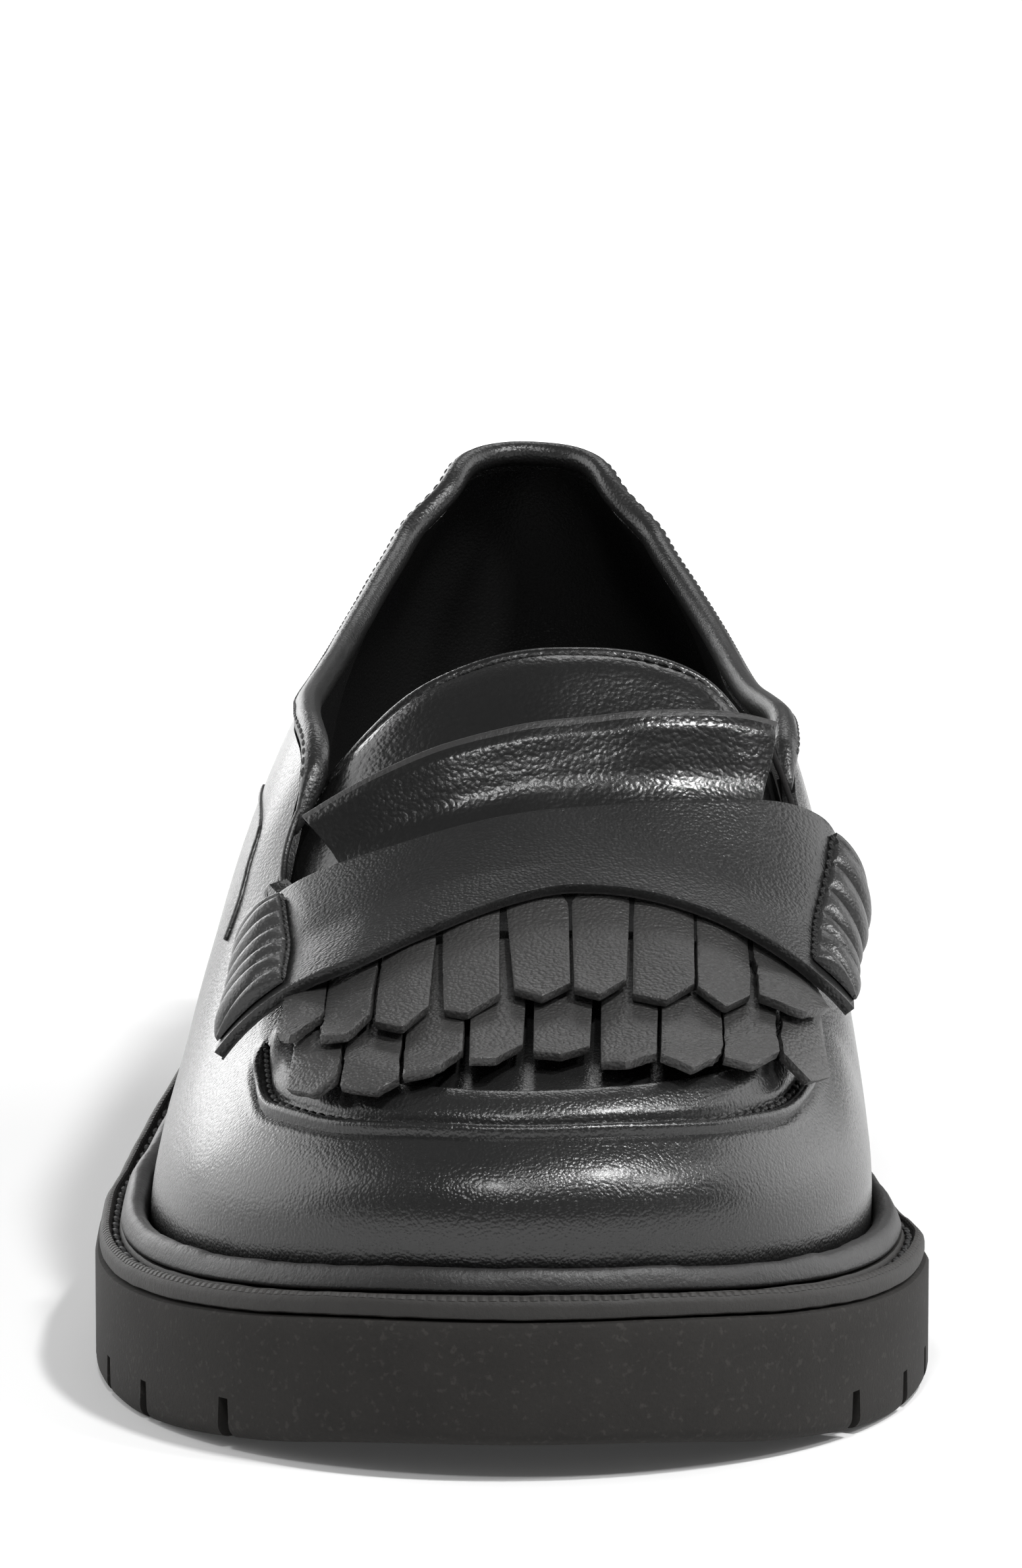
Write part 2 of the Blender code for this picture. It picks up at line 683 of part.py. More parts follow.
def rand():
    """The rounded bead that covers the join of upper and welt."""
    lines = sole_lines()
    body = bmesh.new()
    rings = []
    for share, height in RAND:
        def offset(station, side, share=share):
            return GAP + share * RAND_SHARE * ledge(STEP_BACK)(station, side)

        rings.append([body.verts.new((p.x, p.y, seat(p.y) + height)) for p in outline(lines, offset)])
    count = len(lines)
    for a, b in zip(rings, rings[1:] + rings[:1]):
        for k in range(count):
            body.faces.new([a[k], a[(k + 1) % count], b[(k + 1) % count], b[k]])
    return body


def insole():
    inset = WALL + 2 * CLEARANCE
    loops = [
        (lambda station, side: -inset, above_seat(0.0)),
        (lambda station, side: -inset, above_seat(INSOLE_THICKNESS - INSOLE_EDGE)),
        (lambda station, side: -inset - INSOLE_EDGE, above_seat(INSOLE_THICKNESS)),
    ]
    return slab(sole_lines(), loops)


def patch(skin, rows, columns, spot):
    """A grid of points on the surface. spot gives station, angle and height for two shares."""
    return [[skin.at(*spot(v, u)) for u in columns] for v in rows]


def tongue(last):
    """The padded tongue, from its cut top edge to its foot under the apron."""

    def spot(depth):
        def place(v, u):
            side = abs(2 * u - 1)
            station = mix(TONGUE_TOP, TONGUE_FOOT, v) + TONGUE_DROP * side**3 * (1 - v)
            rim = ease(v, 0.0, 0.05) * ease(1 - side, 0.0, 0.06)
            thick = TONGUE_THICKNESS * mix(0.35, 1.0, rim)
            middle = WALL + mix(*TONGUE_DEPTH, ease(v, 0.3, 0.5)) + TONGUE_THICKNESS / 2
            return station, mix(*TONGUE_ANGLES, u), (0.5 - depth) * thick - middle

        return place

    return sheet(*[patch(last, TONGUE_ROWS, TONGUE_COLUMNS, spot(depth)) for depth in (0, 1)])


def strap_spot(lift):
    """Places on the strap, by shares of its width from the rear and of its length from its lateral end."""

    def place(v, u):
        station = mix(smooth(STRAP, u, "rear"), smooth(STRAP, u, "front"), v)
        angle = mix(smooth(STRAP, u, "rear_angle"), smooth(STRAP, u, "front_angle"), v)
        height = mix(smooth(STRAP, u, "rear_height"), smooth(STRAP, u, "front_height"), v)
        return station, angle, height + lift(v, u)

    return place


def strap(last):
    """The saddle strap, which narrows over the instep and flares to its ends."""
    end = [0.0] + even(*ROLL_SPAN, 5)
    middle = even(ROLL_SPAN[1] + STRAP_STEP, 1 - ROLL_SPAN[1] - STRAP_STEP, 16)
    columns = end + middle + [1 - share for share in end[::-1]]
    rows = [0.0] + even(*ROLL_LENGTH, 5) + [1.0]
    top = patch(last, rows, columns, strap_spot(lambda v, u: STRAP_THICKNESS))
    return sheet(top, patch(last, rows, columns, strap_spot(lambda v, u: 0.0)))


def kiltie(skin):
    """One folded piece: the upper fringe, the fold behind the strap and the lower fringe."""
    halves = 2 * FRINGE_STRIPS + 1
    columns = [0.0]
    for k in range(1, halves):
        columns += [k / halves - FRINGE_SLIT / 2, k / halves + FRINGE_SLIT / 2]
    columns.append(1.0)
    grids = []
    for outside in (True, False):
        grid = []
        for row in KILTIE:
            line = []
            for index, share in enumerate(columns):
                station = row.station + row.slant * share**4 + (row.bend if outside else 0.0)
                if row.reach:
                    station = mix(station, smooth(FRINGE, share, row.layer), row.reach)
                if is_corner(index, row.layer):
                    station += row.point
                angle = even_angle(row.lateral, row.medial, share)
                line.append(skin.at(station, angle, row.outside if outside else row.inside))
            grid.append(line)
        grids.append(grid)
    missing = {
        (r, c)
        for r, (a, b) in enumerate(zip(KILTIE, KILTIE[1:]))
        for c in range(1, len(columns) - 1, 2)
        if a.slit and b.slit and is_corner(c, a.layer)
    }
    return sheet(*grids, missing)


def even_angle(start, end, share):
    """The angle at a share of the width between two angles, measured straight across."""
    return math.degrees(math.atan(mix(math.tan(math.radians(start)), math.tan(math.radians(end)), share)))


def is_corner(index, layer):
    """Whether a column edges a slit. The two fringes' slits take turns, so that they don't line up."""
    turn = (index + 1) // 2
    return turn % 2 == (0 if layer == "upper" else 1)


def roll(last, side):
    """The gathered roll on a strap end, with slanting puffs between its two rows of stitches."""

    def height(v, u):
        along = (v - ROLL_LENGTH[0]) / (ROLL_LENGTH[1] - ROLL_LENGTH[0])
        across = (min(u, 1 - u) - ROLL_SPAN[0]) / (ROLL_SPAN[1] - ROLL_SPAN[0])
        arch = math.sin(math.pi * mix(0.08, 0.92, across)) ** 0.6
        puff = abs(math.sin(math.pi * (ROLL_PUFFS * along + ROLL_SLANT * across))) ** 0.6
        ends = math.sqrt(1 - abs(2 * along - 1) ** 8)
        return 0.0005 + ROLL_HEIGHT * arch * mix(0.55, 1.0, puff) * mix(0.4, 1.0, ends)

    def spot(raised):
        return strap_spot(lambda v, u: STRAP_THICKNESS + CLEARANCE + raised * height(v, u))

    rows = even(*ROLL_LENGTH, 3 * ROLL_PUFFS + 1)
    columns = [share if side < 0 else 1 - share for share in even(*ROLL_SPAN, 5)]
    return sheet(patch(last, rows, columns, spot(1.0)), patch(last, rows, columns, spot(0.0)))


def collar(last):
    """The padded roll along the upper's top edge, from one side of the throat round to the other."""
    found = ribs(-1, HEEL_RIBS, COLLAR_STATIONS, 0)[::-1] + ribs(1, HEEL_RIBS, COLLAR_STATIONS, 0)[1:]
    spine = []
    for line in [Profile(rib) for rib in found]:
        top = last.lift(line.point(line.end), COLLAR_SHIFT)
        low = last.lift(line.point(line.end - COLLAR_HEIGHT), COLLAR_SHIFT)
        spine.append((top, (top - low).normalized()))
    body = bmesh.new()
    rings = []
    for k, (top, up) in enumerate(spine):
        along = (spine[min(k + 1, len(spine) - 1)][0] - spine[max(k - 1, 0)][0]).normalized()
        out = along.cross(up).normalized()
        near_end = min(k, len(spine) - 1 - k, COLLAR_TAPER) / COLLAR_TAPER
        size = math.sqrt(1 - 0.9 * (1 - near_end) ** 2)
        centre = top + up * (2 * CLEARANCE + COLLAR_HEIGHT / 2 * size)
        loop = []
        for step in range(COLLAR_SIDES):
            turn = 2 * math.pi * step / COLLAR_SIDES
            shift = out * math.cos(turn) * COLLAR_WIDTH / 2 + up * math.sin(turn) * COLLAR_HEIGHT / 2
            loop.append(body.verts.new(centre + shift * size))
        rings.append(loop)
    for a, b in zip(rings, rings[1:]):
        for s in range(COLLAR_SIDES):
            body.faces.new([a[s], a[(s + 1) % COLLAR_SIDES], b[(s + 1) % COLLAR_SIDES], b[s]])
    body.faces.new(rings[0])
    body.faces.new(rings[-1][::-1])
    return body


def gore(last, side):
    """An elastic strip inside the quarter, behind the tongue."""
    angles = GORE_ANGLES[side_name(side)]

    def spot(depth):
        def place(v, u):
            height = -(WALL + 2 * CLEARANCE + depth * GORE_THICKNESS)
            return mix(*GORE_STATIONS, u), mix(*angles, v), height

        return place

    return sheet(*[patch(last, even(0.0, 1.0, 5), even(0.0, 1.0, 9), spot(depth)) for depth in (0, 1)])


def edge_spot(station, side, inset):
    """The sole's edge at a station and the direction straight in from it."""
    lines = ring(30, even(HEEL_CENTRE, TOE_CENTRE, 90), 60)
    half = len(lines) // 2
    edge = outline(lines, ledge(inset))
    chosen = range(1, half) if side < 0 else range(half + 1, len(lines) - 1)
    k = min(chosen, key=lambda i: abs(edge[i].y - station))
    along = (edge[k + 1] - edge[k - 1]).normalized()
    return edge[k], Vector((-along.y, along.x))


def cut_lugs(obj, floor, notches, channels):
    """Cuts notches into a sole piece's lower edge and channels across its middle."""
    tool = bmesh.new()
    boxes = []
    for side in (-1, 1):
        for station in notches[side_name(side)]:
            place, inward = edge_spot(station, side, 0.0)
            boxes.append((place, inward, NOTCH_LENGTH, floor(station) + NOTCH_HEIGHT))
    for station in channels:
        width = CHANNEL_SHARE * (smooth(PLAN, station, "medial") - smooth(PLAN, station, "lateral")) / 2
        boxes.append((Vector((0.0, station)), Vector((1.0, 0.0)), width, floor(station) + CHANNEL_DEPTH))
    for place, inward, length, height in boxes:
        frame = Matrix(
            (
                (inward.y, inward.x, 0.0, place.x),
                (-inward.x, inward.y, 0.0, place.y),
                (0.0, 0.0, 1.0, 0.0),
                (0.0, 0.0, 0.0, 1.0),
            )
        )
        size = Matrix.Diagonal((NOTCH_WIDTH, 2 * length, 2 * height, 1.0))
        bmesh.ops.create_cube(tool, size=1.0, matrix=frame @ size)
    mesh = bpy.data.meshes.new(obj.name + "_cutter")
    tool.to_mesh(mesh)
    tool.free()
    cutter = bpy.data.objects.new(mesh.name, mesh)
    bpy.data.collections["cutters"].objects.link(cutter)
    cutter.hide_render = True
    cutter.display_type = "WIRE"
    change = obj.modifiers.new("lugs", "BOOLEAN")
    change.operation = "DIFFERENCE"
    change.solver = "EXACT"
    change.object = cutter


def main():
    for obj in list(bpy.data.objects):
        bpy.data.objects.remove(obj)
    cutters = bpy.data.collections.new("cutters")
    bpy.context.scene.collection.children.link(cutters)
    last = Skin(False)
    skin = Skin(True)

    sole = finish("outsole", outsole(), RUBBER, 0.8)
    cut_lugs(sole, lambda station: smooth(TREAD, station, "height"), NOTCHES, CHANNELS)
    block = finish("heel", heel(), RUBBER, 0.8)
    both = {"lateral": HEEL_NOTCHES, "medial": HEEL_NOTCHES}
    cut_lugs(block, lambda station: 0.0, both, HEEL_CHANNELS)
    finish("welt", welt(), RUBBER, 0.6)
    finish("rand", rand(), LEATHER, 0.5)
    finish("insole", insole(), LINING, 0.7)
    finish("upper", upper(last), LEATHER, 0.35)
    finish("tongue", tongue(last), LEATHER, 0.35)
    finish("saddle_strap", strap(last), LEATHER, 0.35)
    finish("roll_lateral", roll(last, -1), LEATHER, 0.35)
    finish("roll_medial", roll(last, 1), LEATHER, 0.35)
    finish("kiltie", kiltie(skin), LEATHER, 0.35)
    finish("collar", collar(last), LEATHER, 0.4)
    finish("gore_lateral", gore(last, -1), LINING, 0.8)
    finish("gore_medial", gore(last, 1), LINING, 0.8)
    last.form.free()
    skin.form.free()


main()
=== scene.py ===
"""Looks of a right kiltie loafer in black leather on a lug platform sole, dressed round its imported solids.

Units are metres and +Z is up. The toe points to -Y and the medial side is +X. The leather is laid on the
same last as the solids: a station is a value of Y, and an angle is off the vertical, seen from inside.
"""

import math
from collections import namedtuple

import bmesh
import bpy
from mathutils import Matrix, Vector, noise
from mathutils.bvhtree import BVHTree
from mathutils.interpolate import poly_3d_calc


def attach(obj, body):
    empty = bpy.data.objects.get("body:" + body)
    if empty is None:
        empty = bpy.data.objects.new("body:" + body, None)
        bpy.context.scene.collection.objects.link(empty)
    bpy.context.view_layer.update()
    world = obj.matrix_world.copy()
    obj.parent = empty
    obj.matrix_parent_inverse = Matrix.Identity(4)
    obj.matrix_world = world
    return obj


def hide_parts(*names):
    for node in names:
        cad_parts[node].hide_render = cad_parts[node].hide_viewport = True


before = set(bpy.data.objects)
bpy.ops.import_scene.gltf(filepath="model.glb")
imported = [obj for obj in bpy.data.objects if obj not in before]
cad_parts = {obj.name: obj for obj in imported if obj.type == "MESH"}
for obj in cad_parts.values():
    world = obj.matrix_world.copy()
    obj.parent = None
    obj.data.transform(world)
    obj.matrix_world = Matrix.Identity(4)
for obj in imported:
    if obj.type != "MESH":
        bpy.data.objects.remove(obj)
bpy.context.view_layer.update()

bpy.ops.object.select_all(action="DESELECT")

# Camera: height and distance are from the floor under the toe's tip
TOE_TIP = -0.136
CAMERA_DISTANCE = 1.0
CAMERA_ELEVATION = 14.3
CAMERA_PITCH = 9.43
CAMERA_LENS = 188.9

# Last and plan
TOE_CENTRE = -0.070
TOE_LENGTH = 0.0585
TOE_POWER = {"lateral": 2.0, "medial": 2.15}
TOE_FRONT_POWER = 4.8
TOE_SWELL = 0.0010
HEEL_CENTRE = 0.101
HEEL_LENGTH = 0.029
HEEL_POWER = 2.1
HEEL_BACK_POWER = 4.0
HEEL_BACK_FADE = 6
HEEL_SWELL = 0.0030
THROAT = -0.066
EYE = 0.030

# Sole
OUTSOLE_LIP = 0.0007
WELT_THICKNESS = 0.0026
STEP_BACK = 0.00065
RAND_SHARE = 0.53
INSOLE_THICKNESS = 0.0030
HEEL_BREAST = 0.046
HEEL_HEIGHT = 0.0187
NOTCH_WIDTH = 0.0030
NOTCH_LENGTH = 0.011
NOTCH_HEIGHT = 0.0050
CHANNEL_DEPTH = 0.0025
CHANNEL_SHARE = 0.5

# Leather
WALL = 0.0020
TONGUE_THICKNESS = 0.0026
TONGUE_DEPTH = (0.0009, 0.0016)
TONGUE_TOP = -0.0300
TONGUE_FOOT = -0.0880
TONGUE_DROP = -0.0060
TONGUE_ANGLES = (-58, 48)
TONGUE_HALF_WIDTH = 0.036
TONGUE_HEM = 0.0016
STRAP_THICKNESS = 0.0016
STRAP_TOP = 0.00125
STRAP_LINING = 0.0003
STRAP_GRID = (46, 150)
CUT_BEVEL = 0.00018
ROLL_SPAN = (0.012, 0.115)
ROLL_LENGTH = (0.05, 0.93)
ROLL_HEIGHT = 0.0020
ROLL_PUFFS = 6
ROLL_SLANT = 0.8
COLLAR_WIDTH = 0.0036
COLLAR_HEIGHT = 0.0040
COLLAR_SHIFT = -0.0006
GORE_THICKNESS = 0.0010
GORE_STATIONS = (-0.026, 0.018)
GORE_ANGLES = {"lateral": (-62.0, -50.0), "medial": (40.0, 54.0)}
COLLAR_FRONT = -0.040
FRINGE_THICKNESS = 0.0012
FOLD_GRID = (100, 130)
STRIP_GRID = (34, 13)

# Gaps, and the fineness of the last
GAP = 0.0003
CLEARANCE = 0.00045
RIGHT_ANGLE = math.pi / 2
PROFILE_STEPS = 121
MERGE = 0.00001
SKIN_ROWS = 96
SKIN_STEPS = (24, 90, 48)


def table(columns, *rows):
    """A table of numbers whose columns are read by name."""
    row_type = namedtuple("Row", columns)
    return [row_type(*row) for row in rows]


# The feather line, where the upper meets the sole, between the toe cap and the heel seat
PLAN = table(
    "station lateral medial",
    (-0.070, -0.0462, 0.0460),
    (-0.056, -0.0461, 0.0452),
    (-0.038, -0.0444, 0.0434),
    (-0.018, -0.0420, 0.0408),
    (0.002, -0.0388, 0.0383),
    (0.022, -0.0358, 0.0366),
    (0.042, -0.0332, 0.0357),
    (0.062, -0.0312, 0.0353),
    (0.082, -0.0300, 0.0352),
    (0.101, -0.0296, 0.0352),
)

# Width of the sole outside the feather line
LEDGE = table(
    "station lateral medial",
    (-0.136, 0.0075, 0.0075),
    (-0.078, 0.0072, 0.0077),
    (-0.064, 0.0074, 0.0054),
    (-0.045, 0.0077, 0.0045),
    (-0.026, 0.0080, 0.0041),
    (0.010, 0.0076, 0.0043),
    (0.050, 0.0064, 0.0054),
    (0.100, 0.0060, 0.0060),
    (0.136, 0.0060, 0.0060),
)

# Height of the surface on which the upper stands
SEAT = table(
    "station height",
    (-0.136, 0.0231),
    (-0.121, 0.0211),
    (-0.106, 0.0195),
    (-0.091, 0.0187),
    (-0.082, 0.0186),
    (-0.046, 0.0186),
    (-0.026, 0.0198),
    (-0.006, 0.0226),
    (0.014, 0.0260),
    (0.034, 0.0293),
    (0.054, 0.0320),
    (0.074, 0.0341),
    (0.094, 0.0352),
    (0.114, 0.0356),
    (0.136, 0.0356),
)

# Underside of the outsole: toe spring, ball, waist and heel seat
TREAD = table(
    "station height",
    (-0.136, 0.0046),
    (-0.122, 0.0021),
    (-0.108, 0.0005),
    (-0.098, 0.0),
    (-0.040, 0.0),
    (-0.020, 0.0012),
    (0.000, 0.0056),
    (0.022, 0.0124),
    (0.038, 0.0190),
    (0.136, 0.0190),
)

# The last's crown line, seen from the side, and its offset to the medial side
CROWN = table(
    "station height offset",
    (-0.136, 0.0416, 0.0020),
    (-0.122, 0.0430, 0.0025),
    (-0.114, 0.0440, 0.0030),
    (-0.102, 0.0464, 0.0040),
    (-0.090, 0.0503, 0.0052),
    (-0.074, 0.0578, 0.0064),
    (-0.058, 0.0668, 0.0070),
    (-0.044, 0.0785, 0.0066),
    (-0.031, 0.0893, 0.0060),
    (-0.016, 0.0955, 0.0050),
    (0.004, 0.0975, 0.0040),
    (0.044, 0.0975, 0.0030),
    (0.136, 0.0982, 0.0028),
)

# Fullness of the cross-section on each side, and how far the wall swells past the feather line
SECTION = table(
    "station lateral medial swell",
    (-0.070, 1.88, 2.42, 0.0006),
    (-0.054, 1.84, 3.05, 0.0004),
    (-0.031, 2.00, 3.35, 0.0002),
    (-0.016, 2.02, 3.30, 0.0004),
    (0.014, 2.05, 2.85, 0.0008),
    (0.049, 1.98, 2.35, 0.0012),
    (0.084, 1.78, 1.84, 0.0015),
    (0.101, 1.70, 1.70, 0.0015),
)

# Height of the upper's top edge on each side
TOPLINE = table(
    "station lateral medial",
    (-0.056, 0.0500, 0.0520),
    (-0.0484, 0.0560, 0.0580),
    (-0.0445, 0.0592, 0.0630),
    (-0.0420, 0.0614, 0.0668),
    (-0.0405, 0.0630, 0.0686),
    (-0.038, 0.0656, 0.0703),
    (-0.036, 0.0680, 0.0713),
    (-0.033, 0.0700, 0.0721),
    (-0.030, 0.0714, 0.0727),
    (-0.025, 0.0726, 0.0732),
    (-0.018, 0.0732, 0.0733),
    (-0.011, 0.0732, 0.0730),
    (0.0, 0.0726, 0.0722),
    (0.014, 0.0717, 0.0713),
    (0.030, 0.0710, 0.0710),
    (0.044, 0.0712, 0.0711),
    (0.060, 0.0721, 0.0721),
    (0.074, 0.0742, 0.0740),
    (0.092, 0.0786, 0.0782),
    (0.109, 0.0842, 0.0836),
    (0.121, 0.0889, 0.0884),
    (0.130, 0.0923, 0.0921),
    (0.136, 0.0936, 0.0935),
)

# Height of the apron seam on each side
SEAM = table(
    "station lateral medial",
    (-0.1285, 0.0404, 0.0404),
    (-0.118, 0.0396, 0.0396),
    (-0.108, 0.0395, 0.0393),
    (-0.098, 0.0412, 0.0404),
    (-0.088, 0.0428, 0.0425),
    (-0.076, 0.0445, 0.0450),
    (-0.062, 0.0458, 0.0468),
    (-0.044, 0.0468, 0.0480),
    (0.000, 0.0490, 0.0510),
    (0.100, 0.0520, 0.0520),
    (0.130, 0.0600, 0.0600),
)
SEAM_FADE = (-0.093, -0.081)

# The strap's front and rear edge from its lateral end to its medial end, as seen from inside the shoe,
# with the height of the strap's underside above the upper
STRAP = table(
    "share front front_angle front_height rear rear_angle rear_height",
    (0.0, -0.0838, -76.0, 0.0024, -0.0535, -63.0, 0.0010),
    (0.08, -0.0868, -67.0, 0.0048, -0.0545, -56.0, 0.0026),
    (0.16, -0.0868, -57.0, 0.0054, -0.0575, -49.0, 0.0042),
    (0.32, -0.0816, -36.0, 0.0045, -0.0606, -29.0, 0.0045),
    (0.54, -0.0738, 4.0, 0.0045, -0.0596, 1.0, 0.0045),
    (0.72, -0.0758, 34.0, 0.0046, -0.0565, 24.0, 0.0046),
    (0.86, -0.0792, 55.0, 0.0052, -0.0500, 40.0, 0.0047),
    (0.93, -0.0802, 61.0, 0.0054, -0.0478, 47.0, 0.0028),
    (1.0, -0.0802, 67.0, 0.0052, -0.0465, 55.0, 0.0008),
)

# Cross-section of the rand, as a share of the welt's free width and a height
RAND = table(
    "share height",
    (0.06, 0.0),
    (0.15, 0.0021),
    (0.45, 0.0030),
    (0.76, 0.0027),
    (1.00, 0.0010),
    (0.94, 0.0),
)

# Cross-section of the heel block at its edge, as insets from the sole's outline
HEEL_EDGE = table(
    "inset height",
    (0.0034, 0.0),
    (0.0020, 0.0012),
    (0.0010, HEEL_HEIGHT - 0.0005),
    (0.0014, HEEL_HEIGHT),
)

# Side notches of the treads, by station
NOTCHES = {
    "lateral": [-0.1200, -0.1035, -0.090, -0.075, -0.060, -0.045, -0.030],
    "medial": [-0.1125, -0.098, -0.084, -0.069, -0.054, -0.039, -0.024],
}
HEEL_NOTCHES = [0.060, 0.078, 0.096, 0.114]
CHANNELS = [-0.104, -0.089, -0.074, -0.059, -0.044]
HEEL_CHANNELS = [0.069, 0.087, 0.105]

# The kiltie's fold, from the upper fringe's root over the bend to the lower fringe's: height is of its
# outer face above the upper, bend moves it and slant moves its medial end, both to the rear
FOLD = table(
    "place station bend height lateral medial slant",
    (0, -0.0800, 0.0, 0.0038, -56.0, 50.0, 0.0),
    (1, -0.071, 0.0, 0.0038, -50.5, 44.5, 0.0),
    (2, -0.057, 0.0, 0.0041, -43.0, 33.0, 0.005),
    (3, -0.0530, 0.0, 0.0060, -42.5, 31.0, 0.006),
    (4, -0.0505, 0.0, 0.0075, -42.5, 29.5, 0.006),
    (5, -0.0498, 0.0010, 0.0076, -42.5, 29.0, 0.006),
    (6, -0.0498, 0.0016, 0.0056, -42.5, 29.0, 0.006),
    (7, -0.0510, 0.0, 0.0034, -42.5, 29.5, 0.006),
    (8, -0.057, 0.0, 0.0012, -43.0, 33.0, 0.005),
    (9, -0.073, 0.0, 0.0010, -52.0, 45.0, 0.0),
    (10, -0.0810, 0.0, 0.0012, -56.0, 50.0, 0.0),
)

# A rib runs from the feather line up to the crown line
Rib = namedtuple("Rib", "foot top power swell side")

# Cross-section of the apron seam, by distance up the last from its lip: the vamp's turned edge, the groove
# for the stitches and the puffed ridge of the apron
MOC = table(
    "distance height",
    (-0.0036, 0.0),
    (-0.0022, 0.0001),
    (-0.0013, -0.0001),
    (-0.0010, 0.0004),
    (-0.0006, 0.0010),
    (-0.0001, 0.0011),
    (0.0003, 0.0009),
    (0.0006, 0.0001),
    (0.0010, -0.0002),
    (0.0015, 0.0000),
    (0.0021, 0.0008),
    (0.0034, 0.0015),
    (0.0050, 0.0020),
    (0.0064, 0.0021),
    (0.0072, 0.0018),
    (0.0077, 0.0010),
    (0.0081, 0.0002),
    (0.0090, 0.0),
    (0.0130, 0.0),
)

# The same seam as a soft swell, on which the fringe and the fold lie
BED = table(
    "distance height",
    (-0.0060, 0.0),
    (-0.0015, 0.0010),
    (0.0030, 0.0020),
    (0.0065, 0.0021),
    (0.0105, 0.0008),
    (0.0150, 0.0),
)

# Fringe strips: the root's two angles at the strap's edge, then the two corners and the tip, each as a
# station and an angle
STRIPS = table(
    "layer root_a root_b left_at left right_at right tip_at tip",
    ("upper", -62.6, -53.7, -0.0980, -65.2, -0.0945, -60.4, -0.1006, -63.9),
    ("upper", -53.3, -42.1, -0.1034, -61.0, -0.0968, -52.6, -0.1048, -58.4),
    ("upper", -41.7, -28.3, -0.0991, -52.7, -0.0958, -39.4, -0.1011, -47.7),
    ("upper", -27.9, -13.9, -0.0968, -36.0, -0.0942, -18.3, -0.0982, -29.9),
    ("upper", -13.5, 0.7, -0.0934, -13.2, -0.0920, 7.0, -0.0953, -2.5),
    ("upper", 1.1, 14.4, -0.0934, 8.9, -0.0907, 24.8, -0.0948, 18.8),
    ("upper", 14.8, 27.6, -0.0932, 28.1, -0.0902, 41.5, -0.0944, 37.9),
    ("upper", 28.0, 39.6, -0.0907, 42.6, -0.0893, 53.7, -0.0937, 51.6),
    ("upper", 40.0, 53.3, -0.0900, 55.7, -0.0868, 62.9, -0.0918, 61.2),
    ("lower", -60.4, -47.7, -0.1077, -68.9, -0.1111, -61.7, -0.1116, -66.5),
    ("lower", -47.3, -35.3, -0.1124, -61.6, -0.1138, -49.9, -0.1153, -56.5),
    ("lower", -34.9, -20.9, -0.1139, -49.0, -0.1059, -32.9, -0.1138, -41.3),
    ("lower", -20.5, -6.5, -0.1114, -30.2, -0.1043, -8.4, -0.1103, -19.9),
    ("lower", -6.1, 7.7, -0.1062, -3.4, -0.1042, 21.0, -0.1070, 10.3),
    ("lower", 8.1, 21.1, -0.1094, 28.0, -0.1070, 44.4, -0.1109, 37.1),
    ("lower", 21.5, 33.7, -0.1098, 45.6, -0.1061, 56.1, -0.1111, 52.9),
    ("lower", 34.1, 46.3, -0.1068, 56.7, -0.1008, 63.0, -0.1060, 61.7),
    ("lower", 46.7, 60.3, -0.0996, 63.6, -0.0950, 71.6, -0.1002, 70.1),
)
# Height of a strip's outer face above the raised last, from its root to its tip
LIFTS = table(
    "share upper lower",
    (0.0, 0.0037, 0.0022),
    (0.3, 0.0038, 0.0023),
    (0.75, 0.0043, 0.0026),
    (1.0, 0.0046, 0.0029),
)


def side_name(side):
    return "lateral" if side < 0 else "medial"


def smooth(rows, station, column):
    """Value of a table's column at a station, on a curve that never overshoots its rows."""
    xs = [row[0] for row in rows]
    ys = [getattr(row, column) for row in rows]
    if station <= xs[0]:
        return ys[0]
    if station >= xs[-1]:
        return ys[-1]
    steps = [(b - a) / (q - p) for p, q, a, b in zip(xs, xs[1:], ys, ys[1:])]
    slopes = [0.0]
    for before, after in zip(steps, steps[1:]):
        slopes.append(2 * before * after / (before + after) if before * after > 0 else 0.0)
    slopes.append(0.0)
    i = max(k for k, x in enumerate(xs) if x <= station)
    width = xs[i + 1] - xs[i]
    t = (station - xs[i]) / width
    return (
        ys[i] * (1 + 2 * t) * (1 - t) ** 2
        + ys[i + 1] * t * t * (3 - 2 * t)
        + width * slopes[i] * t * (1 - t) ** 2
        - width * slopes[i + 1] * t * t * (1 - t)
    )


def blend(rows, station):
    """A whole row of a table at a station."""
    return rows[0]._make(smooth(rows, station, column) for column in rows[0]._fields)


def mix(a, b, share):
    return a + (b - a) * share


def ease(value, start, end):
    """0 before start, 1 after end and a soft step between them."""
    t = min(1.0, max(0.0, (value - start) / (end - start)))
    return t * t * (3 - 2 * t)


def even(start, end, count):
    return [mix(start, end, k / (count - 1)) for k in range(count)]


def seat(station):
    return smooth(SEAT, station, "height")


def cap_rib(turn, side, toe):
    """A rib of the toe cap or the heel seat. turn is 0 in its middle and a right angle at the side."""
    name = side_name(side)
    centre = TOE_CENTRE if toe else HEEL_CENTRE
    length = -TOE_LENGTH if toe else HEEL_LENGTH
    power = TOE_POWER[name] if toe else HEEL_POWER
    edge = PLAN[0] if toe else PLAN[-1]
    middle = 0.0 if toe else (edge.lateral + edge.medial) / 2
    across = math.sin(turn) ** (2 / power)
    along = math.cos(turn) ** (2 / power)
    foot = Vector((mix(middle, getattr(edge, name), across), centre + length * along))
    top = Vector((smooth(CROWN, centre, "offset"), centre))
    section = SECTION[0] if toe else SECTION[-1]
    fullness = mix(getattr(section, name), TOE_FRONT_POWER, along**2)
    if not toe:
        fullness = mix(getattr(section, name), HEEL_BACK_POWER, along**HEEL_BACK_FADE)
    return Rib(foot, top, fullness, mix(section.swell, TOE_SWELL if toe else HEEL_SWELL, along), side)


